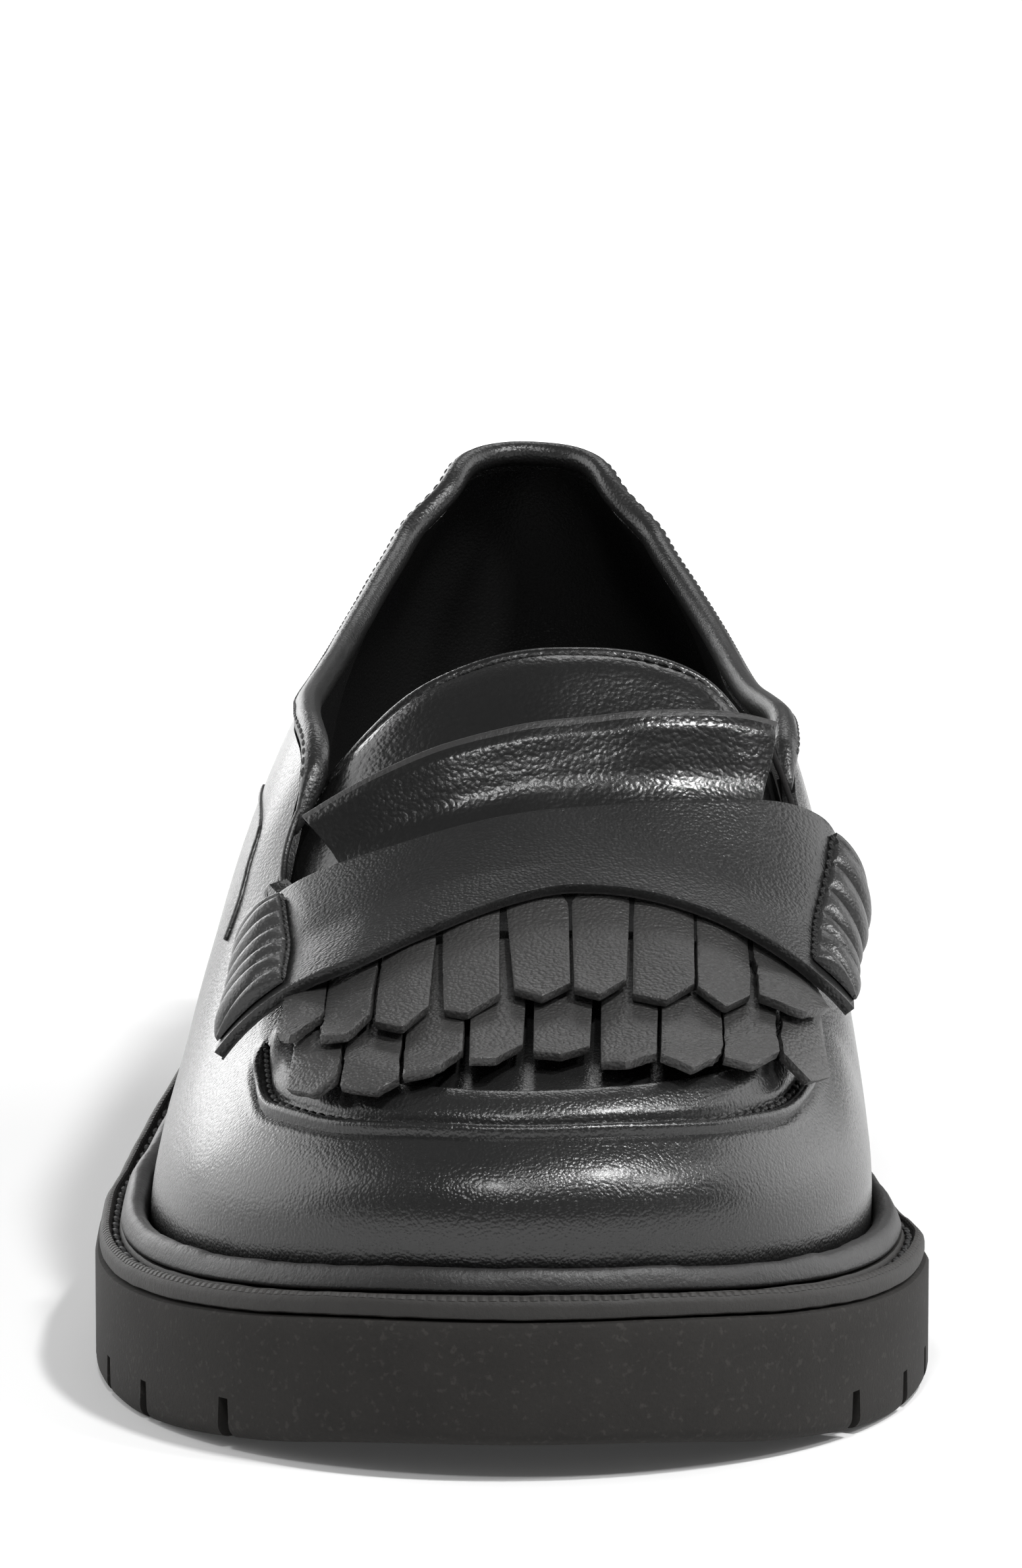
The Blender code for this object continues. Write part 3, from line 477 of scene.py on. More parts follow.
def side_rib(station, side):
    name = side_name(side)
    foot = Vector((smooth(PLAN, station, name), station))
    top = Vector((smooth(CROWN, station, "offset"), station))
    return Rib(foot, top, smooth(SECTION, station, name), smooth(SECTION, station, "swell"), side)


def rib_point(rib, lift):
    """The last's surface on a rib. lift is 0 at the feather line and a right angle at the crown line."""
    height = math.sin(lift) ** (2 / rib.power)
    reach = max(0.0, math.cos(lift)) ** (2 / rib.power)
    out = rib.foot - rib.top
    reach += rib.swell / out.length * math.sin(math.pi * height)
    plan = rib.top + out * reach
    return Vector((plan.x, plan.y, mix(seat(rib.foot.y), smooth(CROWN, plan.y, "height"), height)))


def ribs(side, heel_steps, stations, toe_steps):
    """Ribs of one side, from the middle of the heel round to the tip of the toe."""
    found = [cap_rib(RIGHT_ANGLE * k / heel_steps, side, False) for k in range(heel_steps)]
    found += [side_rib(station, side) for station in stations]
    found += [cap_rib(RIGHT_ANGLE * k / toe_steps, side, True) for k in reversed(range(toe_steps))]
    return found


def ring(heel_steps, stations, toe_steps):
    """Ribs all the way round, from the heel by the lateral side to the toe and back by the medial side."""
    back = ribs(1, heel_steps, stations, toe_steps)[1:-1]
    return ribs(-1, heel_steps, stations, toe_steps) + back[::-1]


class Profile:
    """One rib as a fine line, on which places are found by height or by distance along it."""

    def __init__(self, rib):
        self.rib = rib
        self.points = [rib_point(rib, lift) for lift in even(0.0, RIGHT_ANGLE, PROFILE_STEPS)]
        self.lengths = [0.0]
        for a, b in zip(self.points, self.points[1:]):
            self.lengths.append(self.lengths[-1] + (b - a).length)
        name = side_name(rib.side)
        self.seam = self.length_at(smooth(SEAM, rib.foot.y, name))
        rim = self.length_at(smooth(TOPLINE, rib.foot.y, name))
        closing = (rib.foot.y - THROAT) / (TOPLINE[0].station - THROAT)
        share = math.sqrt(1 - (1 - min(1.0, closing)) ** 2) if closing > 0 else 0.0
        self.end = mix(self.lengths[-1], rim, share)
        self.raised = 1 - ease(rib.foot.y, *SEAM_FADE)

    def length_at(self, height):
        for k, point in enumerate(self.points[1:], 1):
            if point.z >= height:
                low = self.points[k - 1].z
                return mix(self.lengths[k - 1], self.lengths[k], (height - low) / (point.z - low))
        return self.lengths[-1]

    def point(self, length):
        k = next((i for i, end in enumerate(self.lengths[1:]) if end >= length), PROFILE_STEPS - 2)
        share = (length - self.lengths[k]) / (self.lengths[k + 1] - self.lengths[k])
        return self.points[k].lerp(self.points[k + 1], min(1.0, max(0.0, share)))

    def moc(self, length, section):
        """Height of the apron seam's lip, groove and ridge above the last."""
        return self.raised * smooth(section, length - self.seam, "height")


class Skin:
    """A fine mesh of the last, plain or with a seam's section laid on it, on which rays find points."""

    def __init__(self, lines, section=None):
        self.form = bmesh.new()
        columns = []
        for line in lines:
            lengths = [line.lengths[-1] * k / SKIN_ROWS for k in range(SKIN_ROWS + 1)]
            columns.append([self.form.verts.new(line.point(length)) for length in lengths])
        for a, b in zip(columns, columns[1:] + columns[:1]):
            for r in range(SKIN_ROWS):
                self.form.faces.new([a[r], b[r], b[r + 1], a[r + 1]])
        self.form.normal_update()
        if section:
            shifts = [
                (vert, vert.normal * line.moc(line.lengths[-1] * r / SKIN_ROWS, section))
                for line, column in zip(lines, columns)
                for r, vert in enumerate(column)
            ]
            for vert, shift in shifts:
                vert.co += shift
        bmesh.ops.remove_doubles(self.form, verts=self.form.verts, dist=MERGE)
        bmesh.ops.recalc_face_normals(self.form, faces=self.form.faces)
        self.form.normal_update()
        self.form.faces.ensure_lookup_table()
        self.tree = BVHTree.FromBMesh(self.form)

    def normal(self, point, index):
        face = self.form.faces[index]
        shares = poly_3d_calc([vert.co for vert in face.verts], point)
        return sum((vert.normal * share for vert, share in zip(face.verts, shares)), Vector()).normalized()

    def at(self, station, angle, offset):
        """Point offset from the surface, seen from inside the shoe at an angle off the vertical."""
        start = Vector((smooth(CROWN, station, "offset"), station, EYE))
        turn = math.radians(angle)
        hit, _, index, _ = self.tree.ray_cast(start, Vector((math.sin(turn), 0.0, math.cos(turn))))
        return hit + self.normal(hit, index) * offset

    def shell(self, offset):
        """The surface moved outwards, for rays."""
        form = self.form.copy()
        for vert, base in zip(form.verts, self.form.verts):
            vert.co = base.co + base.normal * offset
        return BVHTree.FromBMesh(form)

    def lift(self, point, offset):
        """A point of the surface moved along the surface's own normal."""
        hit, _, index, _ = self.tree.find_nearest(point)
        return point + self.normal(hit, index) * offset


def outline(lines, offset):
    """The feather line moved outwards by a distance that depends on the station and the side."""
    feet = [rib.foot for rib in lines]
    moved = []
    for before, rib, after in zip(feet[-1:] + feet[:-1], lines, feet[1:] + feet[:1]):
        along = (after - before).normalized()
        moved.append(rib.foot + Vector((along.y, -along.x)) * offset(rib.foot.y, rib.side))
    return moved


def slab(lines, loops):
    """A closed solid from loops round the feather line, each an offset and a height above the floor."""
    body = bmesh.new()
    rings = []
    for offset, height in loops:
        rings.append([body.verts.new((p.x, p.y, height(p.y))) for p in outline(lines, offset)])
    close_rings(body, rings, len(lines))
    return body


def close_rings(body, rings, count):
    """Walls between rings and a ladder of faces across the first and the last of them."""
    for a, b in zip(rings, rings[1:]):
        for k in range(count):
            body.faces.new([a[k], a[(k + 1) % count], b[(k + 1) % count], b[k]])
    for loop in (rings[0], rings[-1]):
        for k in range(count // 2):
            corners = [loop[k], loop[k + 1], loop[-k - 1], loop[-k]]
            body.faces.new(list(dict.fromkeys(corners)))


def ledge(inset):
    return lambda station, side: smooth(LEDGE, station, side_name(side)) - inset


def above_seat(height):
    return lambda station: seat(station) + height


def strap_spot(lift):
    """Places on the strap, by shares of its width from the rear and of its length from its lateral end."""

    def place(v, u):
        station = mix(smooth(STRAP, u, "rear"), smooth(STRAP, u, "front"), v)
        angle = mix(smooth(STRAP, u, "rear_angle"), smooth(STRAP, u, "front_angle"), v)
        height = mix(smooth(STRAP, u, "rear_height"), smooth(STRAP, u, "front_height"), v)
        return station, angle, height + lift(v, u)

    return place


def even_angle(start, end, share):
    """The angle at a share of the width between two angles, measured straight across."""
    return math.degrees(math.atan(mix(math.tan(math.radians(start)), math.tan(math.radians(end)), share)))


def edge_spot(station, side, inset):
    """The sole's edge at a station and the direction straight in from it."""
    lines = ring(30, even(HEEL_CENTRE, TOE_CENTRE, 90), 60)
    half = len(lines) // 2
    edge = outline(lines, ledge(inset))
    chosen = range(1, half) if side < 0 else range(half + 1, len(lines) - 1)
    k = min(chosen, key=lambda i: abs(edge[i].y - station))
    along = (edge[k + 1] - edge[k - 1]).normalized()
    return edge[k], Vector((-along.y, along.x))


# ---------------------------------------------------------------------------------------------------
# Laying surfaces


def only(obj):
    bpy.ops.object.select_all(action="DESELECT")
    obj.select_set(True)
    bpy.context.view_layer.objects.active = obj


def lay(name, points):
    """A primitive grid whose points are laid by rows."""
    rows, columns = len(points), len(points[0])
    bpy.ops.object.select_all(action="DESELECT")
    bpy.ops.mesh.primitive_grid_add(x_subdivisions=columns - 1, y_subdivisions=rows - 1, size=1.0)
    obj = bpy.context.object
    obj.name = obj.data.name = name
    obj.data.vertices.foreach_set("co", [c for row in points for point in row for c in point])
    obj.data.update()
    return obj


def merge(obj, distance=MERGE):
    only(obj)
    bpy.ops.object.mode_set(mode="EDIT")
    bpy.ops.mesh.select_all(action="SELECT")
    bpy.ops.mesh.remove_doubles(threshold=distance)
    bpy.ops.object.mode_set(mode="OBJECT")


def face_out(obj, closed=True):
    """Turns the faces outwards: by volume on a closed solid, else away from the shoe's inner line."""
    mesh = obj.data
    if closed:
        form = bmesh.new()
        form.from_mesh(mesh)
        bmesh.ops.recalc_face_normals(form, faces=form.faces)
        form.to_mesh(mesh)
        form.free()
        return
    score = 0.0
    for face in list(mesh.polygons)[:: max(1, len(mesh.polygons) // 400)]:
        inner = Vector((smooth(CROWN, face.center.y, "offset"), face.center.y, EYE))
        score += face.normal.dot(face.center - inner) * face.area
    if score < 0:
        mesh.flip_normals()


def apply_all(obj):
    only(obj)
    for change in list(obj.modifiers):
        bpy.ops.object.modifier_apply(modifier=change.name)


def thicken(obj, thickness, edge_slot=0, inner_slot=0, bevel=0.0):
    """Gives a laid sheet its leather's thickness inwards and softens its cut edges."""
    wall = obj.modifiers.new("wall", "SOLIDIFY")
    wall.thickness = thickness
    wall.offset = -1.0
    wall.use_quality_normals = True
    wall.material_offset = inner_slot
    wall.material_offset_rim = edge_slot
    if bevel:
        soft = obj.modifiers.new("cut_edge", "BEVEL")
        soft.width = bevel
        soft.segments = 2
        soft.limit_method = "ANGLE"
        soft.angle_limit = math.radians(50)
        soft.use_clamp_overlap = True
    apply_all(obj)


def paint(obj, materials):
    obj.data.materials.clear()
    for material in materials:
        obj.data.materials.append(material)


def finish(obj, node, replaced=True, angle=40):
    """Smooth shading and the frame's calls for one painted piece. A stitch row replaces no node."""
    only(obj)
    bpy.ops.object.shade_smooth_by_angle(angle=math.radians(angle), keep_sharp_edges=False)
    if replaced:
        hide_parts(node)
    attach(obj, "root")


def dress(obj, materials, node, replaced=True, angle=40):
    paint(obj, materials)
    finish(obj, node, replaced, angle)


def join(name, parts):
    bpy.ops.object.select_all(action="DESELECT")
    for part in parts:
        part.select_set(True)
    bpy.context.view_layer.objects.active = parts[0]
    bpy.ops.object.join()
    parts[0].name = parts[0].data.name = name
    return parts[0]


def close_edges(obj, bridge):
    """Closes a shell's open edges: a wall between the two, or a face across each."""
    only(obj)
    bpy.ops.object.mode_set(mode="EDIT")
    bpy.ops.mesh.select_all(action="DESELECT")
    bpy.ops.mesh.select_non_manifold(extend=False)
    if bridge:
        bpy.ops.mesh.bridge_edge_loops()
    else:
        bpy.ops.mesh.edge_face_add()
    bpy.ops.object.mode_set(mode="OBJECT")
    face_out(obj)


def tube(name, rings):
    """A closed cord or bead from the rings of points along it."""
    obj = lay(name, [loop + loop[:1] for loop in rings])
    merge(obj, MERGE / 10)
    close_edges(obj, bridge=False)
    return obj


def spaced(path, pitch):
    """Points, directions and outward normals at an even pitch along a path of points and normals."""
    found = []
    travelled = pitch / 2
    for (a, na), (b, nb) in zip(path, path[1:]):
        length = (b - a).length
        while travelled < length:
            share = travelled / length
            found.append((a.lerp(b, share), (b - a).normalized(), na.lerp(nb, share).normalized()))
            travelled += pitch
        travelled -= length
    return found


def stitches(name, path, pitch, length, radius, lean=0.0, lift=0.0, arch=0.25):
    """A row of thread stitches along a path: one rounded stitch is modelled, then copied to each place."""
    bpy.ops.object.select_all(action="DESELECT")
    bpy.ops.mesh.primitive_uv_sphere_add(segments=8, ring_count=6, radius=1.0)
    model = bpy.context.object
    shape = []
    for vert in model.data.vertices:
        along = vert.co.z
        girth = (1 - along**4) ** 0.5 / max(1e-6, (1 - along**2) ** 0.5) if abs(along) < 0.999 else 0.0
        shape.append((along * length / 2, vert.co.x * radius * girth, vert.co.y * radius * girth, along))
    faces = [list(face.vertices) for face in model.data.polygons]
    bpy.data.objects.remove(model)
    points = []
    polygons = []
    for centre, along, out in spaced(path, pitch):
        side = out.cross(along).normalized()
        turn = math.radians(lean)
        forward = along * math.cos(turn) + side * math.sin(turn)
        across = out.cross(forward).normalized()
        start = len(points)
        for x, y, z, share in shape:
            sink = -arch * radius * 2 * share * share
            points.append(centre + forward * x + across * y + out * (z + lift + sink))
        polygons += [[start + index for index in face] for face in faces]
    mesh = bpy.data.meshes.new(name)
    mesh.from_pydata(points, [], polygons)
    mesh.update()
    obj = bpy.data.objects.new(name, mesh)
    bpy.context.scene.collection.objects.link(obj)
    face_out(obj)
    return obj


def thread(name, path, radius, sides=6):
    """A round cord laid along a path of points and normals."""
    rings = []
    for k, (point, out) in enumerate(path):
        along = (path[min(k + 1, len(path) - 1)][0] - path[max(k - 1, 0)][0]).normalized()
        across = along.cross(out).normalized()
        up = across.cross(along)
        size = radius * math.sqrt(max(0.05, 1 - (1 - min(1.0, min(k, len(path) - 1 - k) / 2)) ** 2))
        turns = [2 * math.pi * s / sides for s in range(sides)]
        rings.append([point + (across * math.cos(t) + up * math.sin(t)) * size for t in turns])
    return tube(name, rings)


# ---------------------------------------------------------------------------------------------------
# Materials


class Value:
    """A shader socket that takes part in Python arithmetic."""

    def __init__(self, work, socket):
        self.work = work
        self.socket = socket

    def math(self, operation, *others):
        return self.work.add("ShaderNodeMath", {"operation": operation}, [self, *others])

    def __add__(self, other):
        return self.math("ADD", other)

    def __radd__(self, other):
        return self.math("ADD", other)

    def __sub__(self, other):
        return self.math("SUBTRACT", other)

    def __rsub__(self, other):
        return self.work.add("ShaderNodeMath", {"operation": "SUBTRACT"}, [other, self])

    def __mul__(self, other):
        return self.math("MULTIPLY", other)


class Work:
    """One material, built on its Principled shader."""

    def __init__(self, name):
        self.material = bpy.data.materials.new(name)
        self.material.use_nodes = True
        self.tree = self.material.node_tree
        self.shader = self.tree.nodes["Principled BSDF"]
        self.place = self.add("ShaderNodeTexCoord", output="Object")

    def add(self, kind, settings=None, inputs=None, output=0):
        """A node of a type, with its settings, then the values or links of its sockets."""
        node = self.tree.nodes.new(kind)
        for key, value in (settings or {}).items():
            if key == "stops":
                ramp = node.color_ramp.elements
                while len(ramp) < len(value):
                    ramp.new(0.5)
                for element, (position, shade_) in zip(ramp, value):
                    element.position = position
                    element.color = (shade_, shade_, shade_, 1.0)
            else:
                setattr(node, key, value)
        pairs = enumerate(inputs) if isinstance(inputs, (list, tuple)) else (inputs or {}).items()
        for key, value in pairs:
            self.put(node.inputs[key], value)
        return Value(self, node.outputs[output])

    def put(self, socket, value):
        if isinstance(value, Value):
            self.tree.links.new(value.socket, socket)
        else:
            socket.default_value = value

    def set(self, **values):
        for key, value in values.items():
            self.put(self.shader.inputs[key.replace("_", " ")], value)

    def grain(self, size, detail=2.0, roughness=0.5):
        """Soft noise whose blotches are about the given size."""
        inputs = {"Vector": self.place, "Scale": 0.5 / size, "Detail": detail, "Roughness": roughness}
        return self.add("ShaderNodeTexNoise", {}, inputs, "Fac")

    def pebbles(self, size):
        """Uneven pebbles of about the given size, 0 in their middles."""
        drift = self.add("ShaderNodeTexNoise", {}, {"Vector": self.place, "Scale": 0.5 / size}, "Color")
        inputs = [drift, (size * 0.8,) * 3, self.place]
        place = self.add("ShaderNodeVectorMath", {"operation": "MULTIPLY_ADD"}, inputs)
        inputs = {"Vector": place, "Scale": 1.0 / size, "Smoothness": 0.35}
        return self.add("ShaderNodeTexVoronoi", {"feature": "SMOOTH_F1"}, inputs, "Distance")

    def map(self, axis):
        """A direction of the piece's own map."""
        own = self.add("ShaderNodeUVMap", {"uv_map": "UVMap"}, {}, "UV")
        return self.add("ShaderNodeSeparateXYZ", {}, [own], axis)

    def ramp(self, value, stops):
        return self.add("ShaderNodeValToRGB", {"stops": stops}, {"Fac": value}, "Color")

    def tint(self, low, high, share):
        """A colour between two, by a share."""
        node = self.tree.nodes.new("ShaderNodeMix")
        node.data_type = "RGBA"
        self.put(node.inputs["Factor"], share)
        node.inputs[6].default_value = (*low, 1.0)
        node.inputs[7].default_value = (*high, 1.0)
        return Value(self, node.outputs[2])

    def bump(self, height, depth, strength=1.0, under=None):
        inputs = {"Height": height, "Distance": depth, "Strength": strength}
        if under is not None:
            inputs["Normal"] = under
        return self.add("ShaderNodeBump", {}, inputs, "Normal")


def leather(name, dark, light, rough, grain, grain_depth, pebble=0.0, pebble_depth=0.0, coat=0.0):
    """Finished black leather: blotched colour, fine grain or pebbles, and worn gloss."""
    work = Work(name)
    patches = work.grain(0.012, 3.0)
    fine = work.grain(grain, 3.0, 0.6)
    height = fine
    normal = work.bump(fine, grain_depth)
    if pebble:
        lumps = 1.0 - work.pebbles(pebble)
        normal = work.bump(lumps, pebble_depth, 1.0, normal)
        height = lumps * 0.7 + fine * 0.3
    work.set(Base_Color=work.tint(dark, light, patches * 0.6 + height * 0.4))
    work.set(Roughness=rough + (patches - 0.5) * 0.14 + (fine - 0.5) * 0.10, Normal=normal)
    work.set(Specular_IOR_Level=0.5, Coat_Weight=coat, Coat_Roughness=0.22)
    return work.material


def rubber(name, dark, light, rough):
    """Matt rubber with a fine, slightly dusty grain."""
    work = Work(name)
    fine = work.grain(0.00025, 3.0, 0.7)
    patches = work.grain(0.004, 4.0)
    specks = work.ramp(work.grain(0.0005, 2.0), [(0.60, 0.0), (0.70, 1.0)])
    work.set(Base_Color=work.tint(dark, light, patches * 0.4 + fine * 0.5 + specks * 0.5))
    work.set(Roughness=rough + (fine - 0.5) * 0.1, Specular_IOR_Level=0.3)
    work.set(Normal=work.bump(fine, 0.00010, 0.7))
    return work.material


def cut_edge(name, dark, light):
    """A raw cut edge of dyed leather, with fibres along it."""
    work = Work(name)
    fibre = work.grain(0.00025, 4.0, 0.7)
    work.set(Base_Color=work.tint(dark, light, fibre), Roughness=0.8, Specular_IOR_Level=0.25)
    work.set(Normal=work.bump(fibre, 0.00012))
    return work.material


def waxed_thread(name, dark, light):
    """Waxed thread with its twist."""
    work = Work(name)
    twist = work.add(
        "ShaderNodeTexWave",
        {"wave_type": "BANDS", "bands_direction": "DIAGONAL"},
        {"Vector": work.place, "Scale": 700.0, "Distortion": 1.0},
        "Fac",
    )
    work.set(Base_Color=work.tint(dark, light, twist), Roughness=0.55, Normal=work.bump(twist, 0.00008))
    return work.material


def cloth(name, dark, light, size):
    """Lining: a fine woven or brushed face."""
    work = Work(name)
    fine = work.grain(size, 3.0, 0.7)
    patches = work.grain(0.01, 3.0)
    work.set(Base_Color=work.tint(dark, light, patches * 0.5 + fine * 0.5), Roughness=0.9)
    work.set(Specular_IOR_Level=0.2, Normal=work.bump(fine, 0.00012))
    return work.material


def elastic(name, dark, light):
    """Ribbed elastic: ribs across the strip, on the piece's own map."""
    work = Work(name)
    cords = (work.map("X") * (2 * math.pi * 42)).math("SINE") * 0.5 + 0.5
    work.set(Base_Color=work.tint(dark, light, cords), Roughness=0.85, Specular_IOR_Level=0.25)
    work.set(Normal=work.bump(cords, 0.0004))
    return work.material


def welt_material(name, dark, light):
    """The welt's rubber: fine upright serrations on its lip, by the piece's own map."""
    work = Work(name)
    teeth = (work.map("Y") * (2 * math.pi * 900)).math("SINE") * 0.5 + 0.5
    start, end = WELT_TEETH
    stops = [(0.0, 0.0), (start, 0.0), (start + 0.01, 1.0), (end, 1.0), (end + 0.01, 0.0)]
    lip = work.ramp(work.map("X"), stops)
    fine = work.grain(0.0004, 3.0, 0.7)
    patches = work.grain(0.003, 3.0)
    height = teeth * lip * 0.7 + fine * 0.3
    work.set(Base_Color=work.tint(dark, light, patches * 0.35 + height * 0.65), Roughness=0.62)
    work.set(Normal=work.bump(height, 0.0004), Specular_IOR_Level=0.4)
    return work.material


WELT_TEETH = (0.40, 0.58)
SMOOTH_BLACK = leather("smooth_black", (0.008,) * 3, (0.016,) * 3, 0.34, 0.00025, 0.00005, 0.00045, 0.00006)
VAMP_BLACK = leather("vamp_black", (0.008,) * 3, (0.016,) * 3, 0.27, 0.00025, 0.00006, 0.00042, 0.00006, 0.2)
PEBBLED = leather("pebbled_black", (0.006,) * 3, (0.011,) * 3, 0.25, 0.00030, 0.00004, 0.00065, 0.00005)
# The strips' leather is lighter than the fold's: partly a rougher split leather, partly painted light
# standing in for the brightness the strips catch from above and behind.
FRINGE_BLACK_PAINTED_SHEEN = leather(
    "fringe_black", (0.016,) * 3, (0.048, 0.047, 0.046), 0.42, 0.00025, 0.00010, 0.00050, 0.00012
)
# The rolls' leather is painted lighter than the strap's: a painted sheen that stands in for the light on the
# puffs.
ROLL_BLACK_PAINTED_SHEEN = leather("roll_black", (0.018,) * 3, (0.036,) * 3, 0.34, 0.00025, 0.00006, 0.00045, 0.00005)
# Bead leather for the rand and the strap's lining, also laid on the kiltie's bend as a painted highlight
# line.
BEAD_BLACK_AND_FOLD_HIGHLIGHT = leather("bead_black", (0.011,) * 3, (0.024, 0.023, 0.023), 0.47, 0.00030, 0.00012)
CUT_BLACK = cut_edge("cut_black", (0.003,) * 3, (0.010, 0.009, 0.009))
THREAD_BLACK = waxed_thread("thread_black", (0.004,) * 3, (0.016,) * 3)
# The lining's colour is raised: painted light standing in for light that the inside of the shoe lacks.
LINING_BLACK_PAINTED_LIGHT = cloth("lining_black", (0.020, 0.018, 0.016), (0.040, 0.036, 0.033), 0.0004)
FOOTBED_BLACK = leather("footbed_black", (0.005,) * 3, (0.010,) * 3, 0.6, 0.0005, 0.00008)
# The elastic's colour is raised: painted light standing in for light that the inside of the shoe lacks.
ELASTIC_BLACK_PAINTED_LIGHT = elastic("elastic_black", (0.010,) * 3, (0.070, 0.068, 0.066))
SOLE_RUBBER = rubber("sole_rubber", (0.006, 0.0055, 0.005), (0.030, 0.028, 0.026), 0.82)
WELT_RUBBER = welt_material("welt_rubber", (0.013, 0.012, 0.011), (0.044, 0.042, 0.040))

# ---------------------------------------------------------------------------------------------------
# The last, plain and with the apron seam

skin_stations = even(HEEL_CENTRE, TOE_CENTRE, SKIN_STEPS[1])
skin_lines = [Profile(rib) for rib in ring(SKIN_STEPS[0], skin_stations, SKIN_STEPS[2])]
last = Skin(skin_lines)
bed = Skin(skin_lines, BED)
strip_beds = {layer: bed.shell(smooth(LIFTS, 1.0, layer)) for layer in ("upper", "lower")}


def wobble(point, size, amount, seed=0.0):
    """Soft uneven height, the same at each run."""
    return amount * noise.noise(Vector((point.x, point.y, point.z)) / size + Vector((seed, 0.0, 0.0)))


# ---------------------------------------------------------------------------------------------------
# Upper

UPPER_LOW = 22
UPPER_HIGH = 24
STITCH_PITCH = 0.0017
GROOVE = 0.0010


def seam_rows():
    """Distances of the seam's rows from its lip, close together."""
    rows = []
    for a, b in zip(MOC, MOC[1:]):
        count = 3 if b.distance - a.distance > 0.0011 else 2
        if b.distance - a.distance > 0.003:
            count = 6
        rows += [mix(a.distance, b.distance, k / count) for k in range(count)]
    return rows + [MOC[-1].distance]


def make_upper():
    lines = [Profile(rib) for rib in ring(26, even(HEEL_CENTRE, TOE_CENTRE, 110), 90)]
    middle = seam_rows()
    start, end = MOC[0].distance, MOC[-1].distance
    points = []
    run = 0.0
    seam_path = []
    before = None
    for line in lines:
        lip = line.point(line.seam)
        run += (lip - before).length if before else 0.0
        before = lip
        low = [(line.seam + start) * k / UPPER_LOW for k in range(UPPER_LOW)]
        high = [mix(line.seam + end, line.end, k / UPPER_HIGH) for k in range(1, UPPER_HIGH + 1)]
        column = []
        for length in low + [line.seam + distance for distance in middle] + high:
            base = line.point(length)
            distance = length - line.seam
            height = line.moc(length, MOC)
            if line.raised and start < distance < end:
                pucker = math.cos(2 * math.pi * run / STITCH_PITCH)
                near = math.exp(-(((distance - GROOVE) / 0.0012) ** 2))
                height += line.raised * near * (0.00010 * pucker + wobble(base, 0.004, 0.0002))
            column.append(last.lift(base, height + wobble(base, 0.030, 0.0005)))
        points.append(column)
        if line.raised > 0.3:
            base = line.point(line.seam + GROOVE)
            hit, _, index, _ = last.tree.find_nearest(base)
            out = last.normal(hit, index)
            seam_path.append((base + out * 0.0001, out))
    points.append(points[0])
    rows = [list(row) for row in zip(*points)]
    obj = lay("upper_leather", rows)
    merge(obj)
    face_out(obj, closed=False)
    thicken(obj, WALL, edge_slot=1, inner_slot=1)
    dress(obj, [VAMP_BLACK, LINING_BLACK_PAINTED_LIGHT], "upper", angle=50)
    row = stitches("apron_stitches", seam_path, STITCH_PITCH, 0.00145, 0.00034, lean=16)
    dress(row, [THREAD_BLACK], "upper", replaced=False)


# ---------------------------------------------------------------------------------------------------
# Strap, rolls and kiltie


def lay_on(name, skin_, rows, columns, spot, rough=0.0, seed=0.0):
    """A sheet laid on the last. spot gives station, angle and height for shares v and u."""
    points = []
    for v in rows:
        line = []
        for u in columns:
            station, angle, height = spot(v, u)
            point = skin_.at(station, angle, height)
            if rough:
                point = skin_.at(station, angle, height + wobble(point, 0.012, rough, seed))
            line.append(point)
        points.append(line)
    return lay(name, points)


def make_strap():
    rows, columns = [even(0.0, 1.0, count) for count in STRAP_GRID]

    def wave(v, u):
        """Slack in the strap: soft troughs across it near both ends."""
        ends = math.exp(-(((u - 0.20) / 0.05) ** 2)) + 0.7 * math.exp(-(((u - 0.80) / 0.06) ** 2))
        return -0.0002 * ends * math.sin(math.pi * v)

    top = lay_on("strap_top", last, rows, columns, strap_spot(lambda v, u: STRAP_THICKNESS + wave(v, u)))
    face_out(top, closed=False)
    thicken(top, STRAP_TOP, edge_slot=1, inner_slot=1, bevel=CUT_BEVEL)
    inset = even(0.006, 0.994, STRAP_GRID[0])
    shorter = even(0.002, 0.998, STRAP_GRID[1])
    low = lay_on("strap_lining", last, inset, shorter, strap_spot(lambda v, u: STRAP_LINING + wave(v, u)))
    face_out(low, closed=False)
    thicken(low, STRAP_LINING)
    paint(top, [SMOOTH_BLACK, CUT_BLACK])
    paint(low, [BEAD_BLACK_AND_FOLD_HIGHLIGHT])
    finish(join("strap_leather", [top, low]), "saddle_strap")


